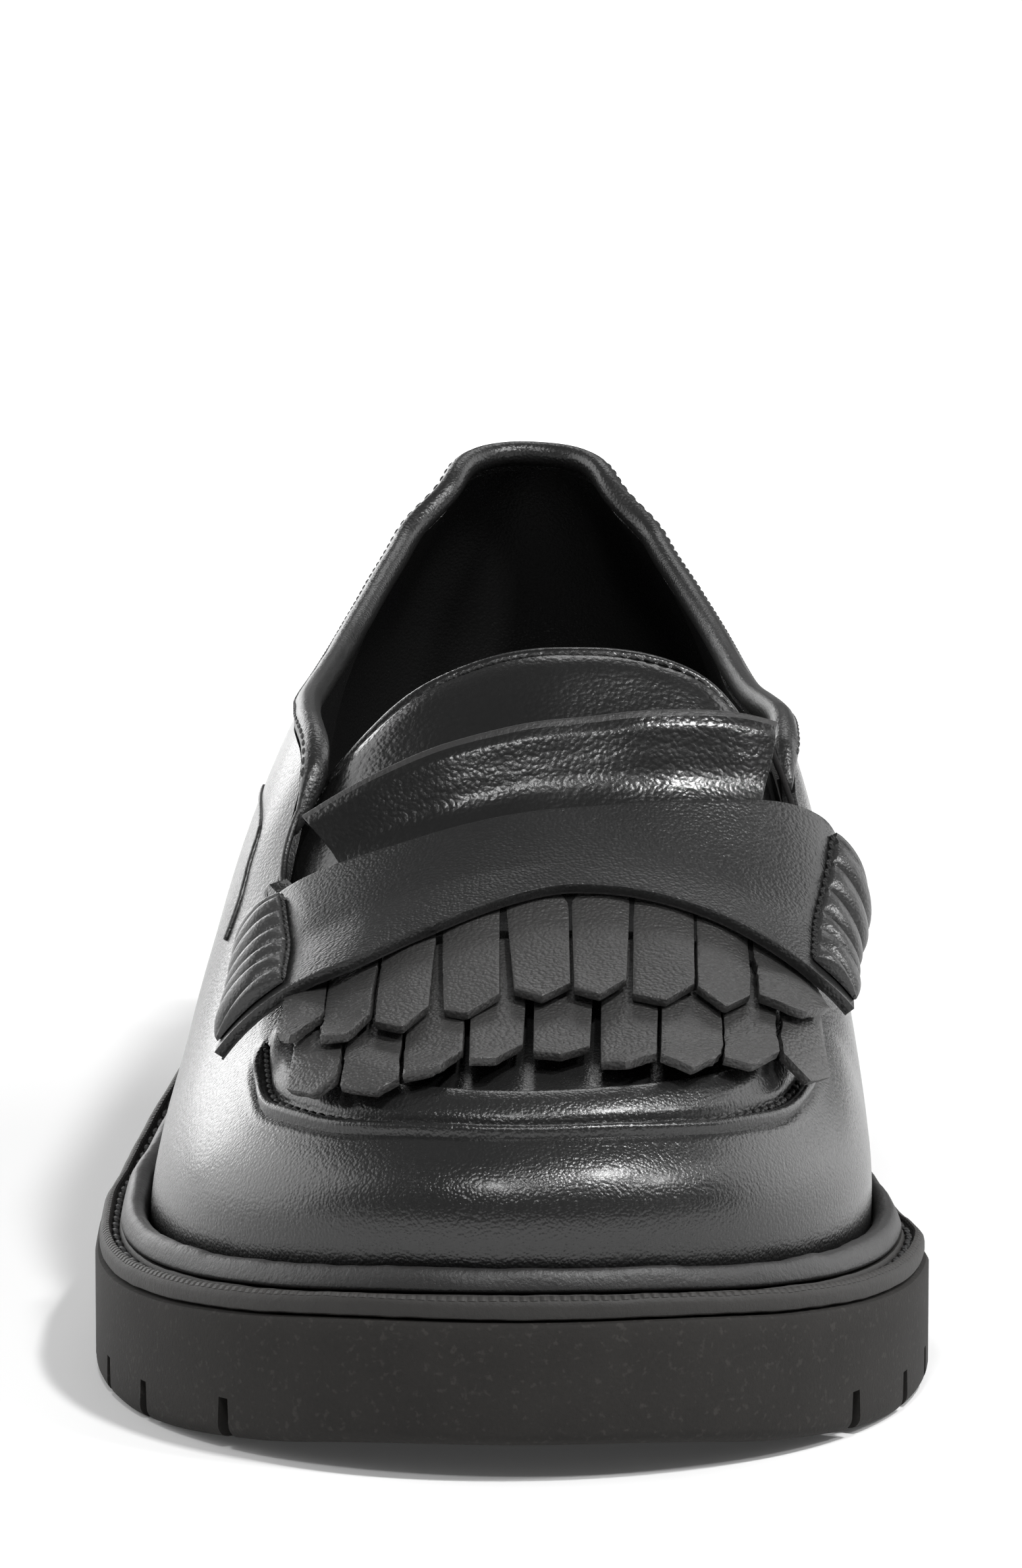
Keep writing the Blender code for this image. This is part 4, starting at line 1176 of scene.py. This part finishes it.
def make_roll(side):
    name = side_name(side)

    def shape(v, u):
        """Height of the gathered leather over the strap."""
        along = (v - ROLL_LENGTH[0]) / (ROLL_LENGTH[1] - ROLL_LENGTH[0])
        across = (min(u, 1 - u) - ROLL_SPAN[0]) / (ROLL_SPAN[1] - ROLL_SPAN[0])
        arch = math.sin(math.pi * mix(0.06, 0.94, across)) ** 0.55
        phase = ROLL_PUFFS * along + ROLL_SLANT * across
        puff = abs(math.sin(math.pi * phase)) ** 0.42
        size = 1.0 + 0.12 * math.sin(7.0 * math.floor(phase) + side)
        ends = math.sqrt(max(0.0, 1 - abs(2 * along - 1) ** 8))
        return 0.0003 + ROLL_HEIGHT * 1.25 * size * arch * mix(0.10, 1.0, puff) * mix(0.35, 1.0, ends)

    def spot(raised):
        return strap_spot(lambda v, u: STRAP_THICKNESS + CLEARANCE / 2 + raised * shape(v, u))

    rows = even(*ROLL_LENGTH, 26 * ROLL_PUFFS + 1)
    columns = [share if side < 0 else 1 - share for share in even(*ROLL_SPAN, 30)]
    outer = lay_on("roll_skin", last, rows, columns, spot(1.0))
    under = lay_on("roll_under", last, rows, columns, spot(0.0))
    obj = join("roll_" + name + "_leather", [outer, under])
    close_edges(obj, bridge=True)
    # The rolls wear the lightened leather: painted sheen on the puffs.
    dress(obj, [ROLL_BLACK_PAINTED_SHEEN], "roll_" + name, angle=70)

    # Threads: one in each groove between two puffs, and a ragged column along each side
    def laid(v, u, lift):
        """Point above the strap at a place on it, with the direction outwards."""
        station, angle, height = strap_spot(lambda v, u: STRAP_THICKNESS)(v, u)
        a, b = last.at(station, angle, height + lift), last.at(station, angle, height)
        return a, (a - b).normalized()

    parts = []
    for groove in range(0, ROLL_PUFFS + 1):
        path = []
        for across in even(0.02, 0.98, 20):
            share = mix(*ROLL_SPAN, across)
            along = (groove - ROLL_SLANT * across) / ROLL_PUFFS
            v, u = mix(*ROLL_LENGTH, along), share if side < 0 else 1 - share
            if 0.02 < along < 0.98:
                path.append(laid(v, u, shape(v, u) + 0.0002))
        if len(path) > 4:
            parts.append(thread("groove_thread", path, 0.00038))
    for k, share in enumerate((ROLL_SPAN[0] + 0.003, ROLL_SPAN[1] - 0.001)):
        u = share if side < 0 else 1 - share
        for turn in range(2):
            path = []
            for v in even(ROLL_LENGTH[0] + 0.01, ROLL_LENGTH[1] - 0.01, 90):
                swing = 0.0035 * math.sin(v * 58 + turn * math.pi + k)
                path.append(laid(v, u + swing, 0.0004 + 0.0002 * math.cos(v * 58 + turn * math.pi)))
            parts.append(thread("side_thread", path, 0.00034))
    row = join("roll_" + name + "_stitches", parts)
    dress(row, [THREAD_BLACK], "roll_" + name, replaced=False)


def strip_points(strip, seed):
    """Points of one fringe strip: straight edges from under the strap to a shallow point."""
    eye = camera_place()
    fronts = [(smooth(STRAP, u, "front_angle"), smooth(STRAP, u, "front")) for u in even(0.0, 1.0, 160)]

    def root(angle):
        at = min(fronts, key=lambda place: abs(place[0] - angle))[1] + 0.010
        return bed.at(at, angle, smooth(LIFTS, 0.0, strip.layer))

    def end(station, angle):
        return bed.at(station, angle, smooth(LIFTS, 1.0, strip.layer))

    left, right = end(strip.left_at, strip.left), end(strip.right_at, strip.right)
    tip = end(strip.tip_at, strip.tip)
    root_a, root_b = root(strip.root_a), root(strip.root_b)
    share = min(0.7, max(0.3, (tip - left).dot(right - left) / (right - left).length_squared))
    points = []
    for v in even(0.0, 1.0, STRIP_GRID[0]):
        line = []
        for u in even(0.0, 1.0, STRIP_GRID[1]):
            front = left.lerp(tip, u / share) if u < share else tip.lerp(right, (u - share) / (1 - share))
            flat = root_a.lerp(root_b, u).lerp(front, v)
            hit = strip_beds[strip.layer].ray_cast(eye, flat - eye)[0]
            if hit is None or (hit - flat).length > 0.02:
                hit = strip_beds[strip.layer].find_nearest(flat)[0]
            base, _, index, _ = bed.tree.find_nearest(hit)
            twist = 0.0006 * (u - 0.5) * math.sin(seed * 2.4) * v * v
            droop = 0.0003 * math.sin(seed * 1.7) * v**3
            belly = 0.0003 * (1 - (2 * u - 1) ** 2) * math.sin(math.pi * min(1.0, v * 1.1))
            height = smooth(LIFTS, v, strip.layer) + twist + droop + belly
            line.append(base + bed.normal(base, index) * height)
        points.append(line)
    return points


def make_kiltie():
    positions = even(0.0, FOLD[-1].place, FOLD_GRID[0])
    columns = even(0.0, 1.0, FOLD_GRID[1])
    points = []
    for position in positions:
        row = blend(FOLD, position)
        line = []
        for share in columns:
            station = row.station + row.slant * share**4 + row.bend
            angle = even_angle(row.lateral, row.medial, share)
            point = bed.at(station, angle, row.height)
            line.append(bed.at(station, angle, row.height + wobble(point, 0.010, 0.00035, 3.0)))
        points.append(line)
    fold = lay("kiltie_fold", points)
    if fold_turned(fold):
        fold.data.flip_normals()
    drape = fold.modifiers.new("drape", "SMOOTH")
    drape.factor = 0.5
    drape.iterations = 6
    apply_all(fold)
    # The rows over the fold's bend take the lighter bead leather: a painted highlight line along the fold's
    # top edge.
    for face in fold.data.polygons:
        place = positions[face.vertices[0] // len(columns)]
        face.material_index = 3 if 4.5 < place < 6.2 else 0
    thicken(fold, FRINGE_THICKNESS, edge_slot=1, inner_slot=2, bevel=0.0002)
    for material in (PEBBLED, CUT_BLACK, FRINGE_BLACK_PAINTED_SHEEN, BEAD_BLACK_AND_FOLD_HIGHLIGHT):
        fold.data.materials.append(material)
    parts = [fold]
    for k, strip in enumerate(STRIPS):
        piece = lay("strip", strip_points(strip, k))
        face_out(piece, closed=False)
        thicken(piece, FRINGE_THICKNESS, edge_slot=1, inner_slot=1, bevel=CUT_BEVEL)
        # The strips take the lightened fringe leather, which is partly painted light.
        paint(piece, [FRINGE_BLACK_PAINTED_SHEEN, CUT_BLACK])
        parts.append(piece)
    finish(join("kiltie_leather", parts), "kiltie")


def fold_turned(obj):
    """Whether the fold's upper layer faces into the shoe."""
    faces = [face for face in obj.data.polygons if face.index < 500]
    total = sum(face.normal.z * face.area for face in faces)
    return total < 0


# ---------------------------------------------------------------------------------------------------
# Tongue, collar and gores


def make_tongue():
    length = TONGUE_TOP - TONGUE_FOOT

    def middle(v, u):
        """Place of the tongue's middle layer, and the distance from its edge."""
        side = abs(2 * u - 1)
        station = mix(TONGUE_TOP, TONGUE_FOOT, v) + TONGUE_DROP * side**3 * (1 - v)
        depth = WALL + mix(*TONGUE_DEPTH, ease(v, 0.3, 0.5)) + TONGUE_THICKNESS / 2
        return station, mix(*TONGUE_ANGLES, u), -depth, min(v * length, (1 - side) * TONGUE_HALF_WIDTH)

    def over(v, u):
        station, angle, height, reach = middle(v, u)
        crown = ease(reach, 0.0, 0.0006) * 0.35 + ease(reach, TONGUE_HEM, TONGUE_HEM + 0.003) * 0.65
        groove = math.exp(-(((reach - TONGUE_HEM) / 0.0004) ** 2))
        return station, angle, TONGUE_THICKNESS * mix(0.18, 0.5, crown) - 0.0004 * groove + height

    def under(v, u):
        station, angle, height, reach = middle(v, u)
        return station, angle, height - TONGUE_THICKNESS * mix(0.1, 0.5, ease(reach, 0.0, 0.0012))

    rows = [k * 0.004 for k in range(12)] + even(0.052, 1.0, 60)
    columns = [0.0, 0.006, 0.012, 0.018, 0.024, 0.030, 0.037, 0.045]
    columns = columns + even(0.06, 0.94, 70) + [1 - share for share in columns[::-1]]
    outer = lay_on("tongue_skin", last, rows, columns, over, 0.0006, 5.0)
    inner = lay_on("tongue_under", last, rows, columns, under)
    obj = join("tongue_leather", [outer, inner])
    close_edges(obj, bridge=True)
    dress(obj, [PEBBLED], "tongue", angle=60)
    path = []
    for u in even(0.04, 0.96, 160):
        station, angle, height = over(TONGUE_HEM / length, u)
        a, b = last.at(station, angle, height), last.at(station, angle, height - 0.001)
        path.append((a, (a - b).normalized()))
    row = stitches("tongue_stitches", path, 0.0019, 0.0016, 0.00028, lift=0.0001)
    dress(row, [THREAD_BLACK], "tongue", replaced=False)


# Lines on the quarters, as stations and angles: two seams on the lateral side and a slit on the medial one
SEAM_LINES = {
    "quarter_seam": [
        (-0.0096, -47.5), (-0.0200, -48.2), (-0.0306, -50.0),
        (-0.0356, -55.4), (-0.0395, -60.5), (-0.0420, -66.0),
    ],
    "tongue_seam": [
        (-0.0385, -43.5), (-0.0392, -44.8), (-0.0410, -47.5),
        (-0.0427, -49.4), (-0.0465, -52.2), (-0.0510, -54.5),
    ],
    "gore_slit": [(-0.0390, 32.0), (-0.0406, 34.5), (-0.0427, 37.7), (-0.0448, 40.6), (-0.0470, 44.5)],
}


def make_seam_lines():
    """Raised seams and a dark slit on the quarters, as cords pressed half into the leather."""
    for name, knots in SEAM_LINES.items():
        line = table("place station angle", *[(float(k), *knot) for k, knot in enumerate(knots)])
        path = []
        for place in even(0.0, len(knots) - 1.0, 60):
            station, angle = smooth(line, place, "station"), smooth(line, place, "angle")
            a, b = last.at(station, angle, 0.0001), last.at(station, angle, 0.0)
            path.append((a, (a - b).normalized()))
        radius = 0.0005 if name == "tongue_seam" else 0.0004
        leather_ = CUT_BLACK if name == "gore_slit" else SMOOTH_BLACK
        dress(thread(name, path, radius, 8), [leather_], "upper", replaced=False, angle=80)


COLLAR_SIDES = 16
COLLAR_TAPER = 5


def make_collar():
    """The rolled top edge, from one throat corner round the heel to the other, with its stitches inside."""
    stations = even(HEEL_CENTRE, COLLAR_FRONT, 130)
    around = ribs(-1, 26, stations, 0)[::-1] + ribs(1, 26, stations, 0)[1:]
    spine = []
    for line in [Profile(rib) for rib in around]:
        top = last.lift(line.point(line.end), COLLAR_SHIFT)
        low = last.lift(line.point(line.end - COLLAR_HEIGHT), COLLAR_SHIFT)
        spine.append((top, (top - low).normalized()))
    for _ in range(2):
        for k in range(1, len(spine) - 1):
            spine[k] = tuple((a + b * 2 + c) / 4 for a, b, c in zip(spine[k - 1], spine[k], spine[k + 1]))
    rings = []
    stitch_path = []
    for k, (top, up) in enumerate(spine):
        along = (spine[min(k + 1, len(spine) - 1)][0] - spine[max(k - 1, 0)][0]).normalized()
        out = along.cross(up).normalized()
        size = mix(0.45, 1.0, ease(min(k, len(spine) - 1 - k), 0, COLLAR_TAPER))
        if k in (0, len(spine) - 1):
            size = 0.2
        centre = top + up * (0.0002 + COLLAR_HEIGHT / 2 * size)
        loop = []
        for step in range(COLLAR_SIDES):
            turn = 2 * math.pi * step / COLLAR_SIDES
            shift = out * math.cos(turn) * COLLAR_WIDTH / 2 + up * math.sin(turn) * COLLAR_HEIGHT / 2
            loop.append(centre + shift * size * (1 + wobble(centre, 0.01, 0.05)))
        rings.append(loop)
        lean = math.radians(-8)
        inner = up * (math.sin(lean) * COLLAR_HEIGHT / 2) - out * (math.cos(lean) * COLLAR_WIDTH / 2)
        stitch_path.append((centre + inner * size, inner.normalized()))
    obj = tube("collar_leather", rings)
    dress(obj, [SMOOTH_BLACK], "collar", angle=60)
    row = stitches("collar_stitches", stitch_path[4:-4], 0.0022, 0.0018, 0.00032, lift=-0.00005)
    dress(row, [THREAD_BLACK], "collar", replaced=False)


def make_gore(side):
    name = side_name(side)
    angles = GORE_ANGLES[name]

    def spot(v, u):
        return mix(*GORE_STATIONS, u), mix(*angles, v), -(WALL + CLEARANCE)

    obj = lay_on("gore_" + name + "_elastic", last, even(0.0, 1.0, 20), even(0.0, 1.0, 60), spot)
    face_out(obj, closed=False)
    thicken(obj, GORE_THICKNESS)
    dress(obj, [ELASTIC_BLACK_PAINTED_LIGHT], "gore_" + name)


# ---------------------------------------------------------------------------------------------------
# Sole

SOLE_STEPS = (30, 120, 90)


def sole_ring():
    return ring(SOLE_STEPS[0], even(HEEL_CENTRE, TOE_CENTRE, SOLE_STEPS[1]), SOLE_STEPS[2])


def section_ring(name, lines, loops):
    """A closed bead round the shoe from offsets and heights, with its length and girth in the map."""
    edges = [outline(lines, offset) for offset, _ in loops]
    sections = []
    for k in range(len(lines)):
        sections.append([Vector((e[k].x, e[k].y, height(e[k].y))) for e, (_, height) in zip(edges, loops)])
    rows = [list(section) + [section[0]] for section in sections]
    rows.append(rows[0])
    obj = lay(name, rows)
    runs = [0.0]
    for a, b in zip(rows, rows[1:]):
        runs.append(runs[-1] + (b[0] - a[0]).length)
    width = len(rows[0])
    layer = obj.data.uv_layers.active.data
    for loop in obj.data.loops:
        layer[loop.index].uv = (loop.vertex_index % width / (width - 1), runs[loop.vertex_index // width])
    merge(obj, MERGE / 10)
    face_out(obj)
    return obj


def rounded(rows, count):
    """More points on a cross-section given by rows of offset and height, on a soft curve through them."""
    found = []
    size = len(rows)
    for k in range(size):
        p, a, b, q = (Vector(rows[(k + s) % size]) for s in (-1, 0, 1, 2))
        for step in range(count):
            t = step / count
            point = (
                a * (2 * t**3 - 3 * t**2 + 1)
                + b * (3 * t**2 - 2 * t**3)
                + (b - p) * 0.5 * (t**3 - 2 * t**2 + t)
                + (q - a) * 0.5 * (t**3 - t**2)
            )
            found.append(point)
    return found


def make_rand():
    lines = sole_ring()
    rows = rounded([(row.share, row.height) for row in RAND], 3)
    loops = []
    for share, height in rows:
        def offset(station, side, share=share):
            return GAP + share * RAND_SHARE * ledge(STEP_BACK)(station, side)

        def rise(station, height=height):
            return seat(station) + max(0.0, height)

        loops.append((offset, rise))
    obj = section_ring("rand_leather", lines, loops)
    for vert in obj.data.vertices:
        high = ease(vert.co.z - seat(vert.co.y), 0.0006, 0.0025)
        vert.co.z += high * (wobble(vert.co, 0.008, 0.00035) + wobble(vert.co, 0.0022, 0.00015, 7.0))
    dress(obj, [BEAD_BLACK_AND_FOLD_HIGHLIGHT], "rand", angle=70)


# Cross-section of the welt from its inner top, over the groove and the lip, down its side and back in
WELT = table(
    "inset height",
    (0.0058, -0.0003),
    (0.0036, -0.0003),
    (0.0034, 0.0),
    (0.0028, 0.0001),
    (0.0026, -0.0001),
    (0.0024, -0.0008),
    (0.0015, -0.0008),
    (0.0013, -0.0001),
    (0.0011, 0.0002),
    (0.0007, 0.0001),
    (0.0003, -0.0003),
    (0.0000, -0.0007),
    (-0.0001, -0.0012),
    (-0.0001, -0.0020),
    (0.0000, -0.0024),
    (0.0003, -0.0026),
    (0.0058, -0.0026),
)


def make_welt():
    lines = sole_ring()
    loops = [(ledge(STEP_BACK + row.inset), above_seat(row.height - GAP)) for row in WELT]
    obj = section_ring("welt_rubber_strip", lines, loops)
    for vert in obj.data.vertices:
        vert.co.z += wobble(vert.co, 0.003, 0.00012, 2.0)
    dress(obj, [WELT_RUBBER], "welt", angle=35)
    path = []
    for point in outline(lines, ledge(STEP_BACK + 0.00195)):
        path.append((Vector((point.x, point.y, seat(point.y) - GAP - 0.00055)), Vector((0.0, 0.0, 1.0))))
    path.append(path[0])
    row = stitches("welt_stitches", path, 0.0036, 0.0034, 0.00046, lean=6, arch=0.5)
    dress(row, [THREAD_BLACK], "welt", replaced=False)


def cut_notches(obj, floor, notches, channels):
    """Cuts the side notches and the tread's channels with boxes."""
    boxes = []
    for side in (-1, 1):
        for station in notches[side_name(side)]:
            place, inward = edge_spot(station, side, 0.0)
            boxes.append((place, inward, NOTCH_LENGTH, floor(station) + NOTCH_HEIGHT))
    for station in channels:
        width = CHANNEL_SHARE * (smooth(PLAN, station, "medial") - smooth(PLAN, station, "lateral")) / 2
        boxes.append((Vector((0.0, station)), Vector((1.0, 0.0)), width, floor(station) + CHANNEL_DEPTH))
    for place, inward, length, height in boxes:
        bpy.ops.object.select_all(action="DESELECT")
        bpy.ops.mesh.primitive_cube_add(
            size=1.0,
            location=(place.x, place.y, 0.0),
            rotation=(0.0, 0.0, math.atan2(inward.y, inward.x)),
            scale=(2 * length, NOTCH_WIDTH, 2 * height),
        )
        tool = bpy.context.object
        bpy.ops.object.transform_apply(location=True, rotation=True, scale=True)
        taper = [vert for vert in tool.data.vertices if vert.co.z > 0]
        middle = sum((vert.co for vert in taper), Vector()) / len(taper)
        along = Vector((-inward.y, inward.x, 0.0)).normalized()
        for vert in taper:
            vert.co -= along * along.dot(vert.co - middle) * 0.45
        change = obj.modifiers.new("notch", "BOOLEAN")
        change.operation = "DIFFERENCE"
        change.solver = "EXACT"
        change.object = tool
        only(obj)
        bpy.ops.object.modifier_apply(modifier="notch")
        bpy.data.objects.remove(tool)


def make_outsole():
    lines = sole_ring()

    def tread(rise):
        return lambda station: smooth(TREAD, station, "height") + rise

    top = -2 * GAP - WELT_THICKNESS
    loops = [(ledge(0.0040), tread(0.0))]
    for turn in even(0.0, 90.0, 6):
        x, z = 1 - math.sin(math.radians(turn)), 1 - math.cos(math.radians(turn))
        loops.append((ledge(0.0017 * x), tread(0.0017 * z)))
    for share in (0.2, 0.4, 0.6, 0.8):
        def height(station, share=share):
            return mix(tread(0.0020)(station), above_seat(top - OUTSOLE_LIP)(station), share)

        loops.append((ledge(0.0), height))
    loops.append((ledge(0.0), above_seat(top - OUTSOLE_LIP)))
    loops.append((ledge(0.0003), above_seat(top - 0.0002)))
    loops.append((ledge(0.0009), above_seat(top)))
    form = slab(lines, loops)
    obj = from_form("outsole_rubber", form)
    cut_notches(obj, lambda station: smooth(TREAD, station, "height"), NOTCHES, CHANNELS)
    dress(obj, [SOLE_RUBBER], "outsole", angle=35)


def from_form(name, form):
    bmesh.ops.recalc_face_normals(form, faces=form.faces)
    mesh = bpy.data.meshes.new(name)
    form.to_mesh(mesh)
    form.free()
    obj = bpy.data.objects.new(name, mesh)
    bpy.context.scene.collection.objects.link(obj)
    return obj


def make_heel():
    lateral = ribs(-1, SOLE_STEPS[0], even(HEEL_CENTRE, HEEL_BREAST, 30), 0)
    medial = ribs(1, SOLE_STEPS[0], even(HEEL_CENTRE, HEEL_BREAST, 30), 0)
    feet = [rib.foot for rib in lateral + medial[:0:-1]]
    corner = len(lateral) - 1
    count = len(feet)
    form = bmesh.new()
    rings = []
    for row in HEEL_EDGE:
        points = []
        for k, foot in enumerate(feet):
            before = foot if k == corner + 1 else feet[k - 1]
            after = foot if k == corner else feet[(k + 1) % count]
            along = (after - before).normalized()
            side = -1 if k <= corner else 1
            points.append(foot + Vector((along.y, -along.x)) * ledge(row.inset)(foot.y, side))
        rings.append([form.verts.new((p.x, p.y, row.height)) for p in points])
    close_rings(form, rings, count)
    obj = from_form("heel_rubber", form)
    both = {"lateral": HEEL_NOTCHES, "medial": HEEL_NOTCHES}
    cut_notches(obj, lambda station: 0.0, both, HEEL_CHANNELS)
    dress(obj, [SOLE_RUBBER], "heel", angle=35)


def make_insole():
    inset = WALL + 2 * CLEARANCE
    loops = [
        (lambda station, side: -inset, above_seat(0.0)),
        (lambda station, side: -inset, above_seat(INSOLE_THICKNESS - 0.0006)),
        (lambda station, side: -inset - 0.0002, above_seat(INSOLE_THICKNESS - 0.0002)),
        (lambda station, side: -inset - 0.0008, above_seat(INSOLE_THICKNESS)),
    ]
    obj = from_form("insole_leather", slab(sole_ring(), loops))
    dress(obj, [FOOTBED_BLACK], "insole", angle=40)


# ---------------------------------------------------------------------------------------------------
# Studio


def camera_place():
    tilt = math.radians(CAMERA_ELEVATION)
    return Vector((0.0, TOE_TIP - CAMERA_DISTANCE * math.cos(tilt), CAMERA_DISTANCE * math.sin(tilt)))


def make_camera():
    data = bpy.data.cameras.new("camera")
    data.lens = CAMERA_LENS
    data.sensor_width = 36.0
    data.clip_start = 0.05
    data.clip_end = 50.0
    camera = bpy.data.objects.new("camera", data)
    camera.location = camera_place()
    camera.rotation_euler = (math.radians(90 - CAMERA_PITCH), 0.0, 0.0)
    bpy.context.scene.collection.objects.link(camera)
    bpy.context.scene.camera = camera


def softbox(name, place, size, power):
    """A soft light that faces the toe."""
    data = bpy.data.lights.new(name, "AREA")
    data.shape = "RECTANGLE"
    data.size, data.size_y = size
    data.energy = power
    light = bpy.data.objects.new(name, data)
    light.location = place
    light.rotation_euler = (Vector((0.0, -0.10, 0.05)) - Vector(place)).to_track_quat("-Z", "Y").to_euler()
    bpy.context.scene.collection.objects.link(light)


def make_floor():
    bpy.ops.object.select_all(action="DESELECT")
    bpy.ops.mesh.primitive_plane_add(size=16.0, location=(0.0, 0.0, 0.0))
    floor = bpy.context.object
    floor.name = floor.data.name = "studio_floor"
    work = Work("studio_floor")
    work.set(Base_Color=(0.80, 0.80, 0.80, 1.0), Roughness=0.9, Specular_IOR_Level=0.1)
    reach = work.add("ShaderNodeVectorMath", {"operation": "LENGTH"}, [work.place], "Value")
    work.set(Emission_Color=work.ramp(reach * 0.5, [(0.10, 0.04), (0.55, 1.0)]), Emission_Strength=1.0)
    floor.data.materials.append(work.material)


def make_light():
    bpy.context.scene.view_settings.view_transform = "Standard"
    world = bpy.data.worlds.new("studio")
    bpy.context.scene.world = world
    world.use_nodes = True
    sky = world.node_tree.nodes["Background"]
    sky.inputs["Color"].default_value = (1.0, 1.0, 1.0, 1.0)
    sky.inputs["Strength"].default_value = 0.14
    softbox("left_wall", (-1.3, 0.35, 0.6), (1.6, 1.2), 15)
    softbox("right_wall", (1.3, 0.55, 0.6), (1.6, 1.2), 12)
    softbox("back_left", (-0.66, 1.30, 0.35), (0.8, 0.5), 5.5)
    softbox("top_middle", (0.46, -0.44, 1.1), (0.12, 0.12), 10)
    softbox("top_left", (-0.10, -0.78, 0.95), (0.14, 0.14), 3.5)
    softbox("top_right", (0.92, -0.52, 0.95), (0.14, 0.14), 5)
    softbox("top_back", (0.2, 1.3, 1.2), (0.7, 0.4), 3)


make_camera()
make_floor()
make_light()
make_upper()
make_strap()
make_roll(-1)
make_roll(1)
make_kiltie()
make_tongue()
make_collar()
make_gore(-1)
make_gore(1)
make_seam_lines()
make_rand()
make_welt()
make_outsole()
make_heel()
make_insole()
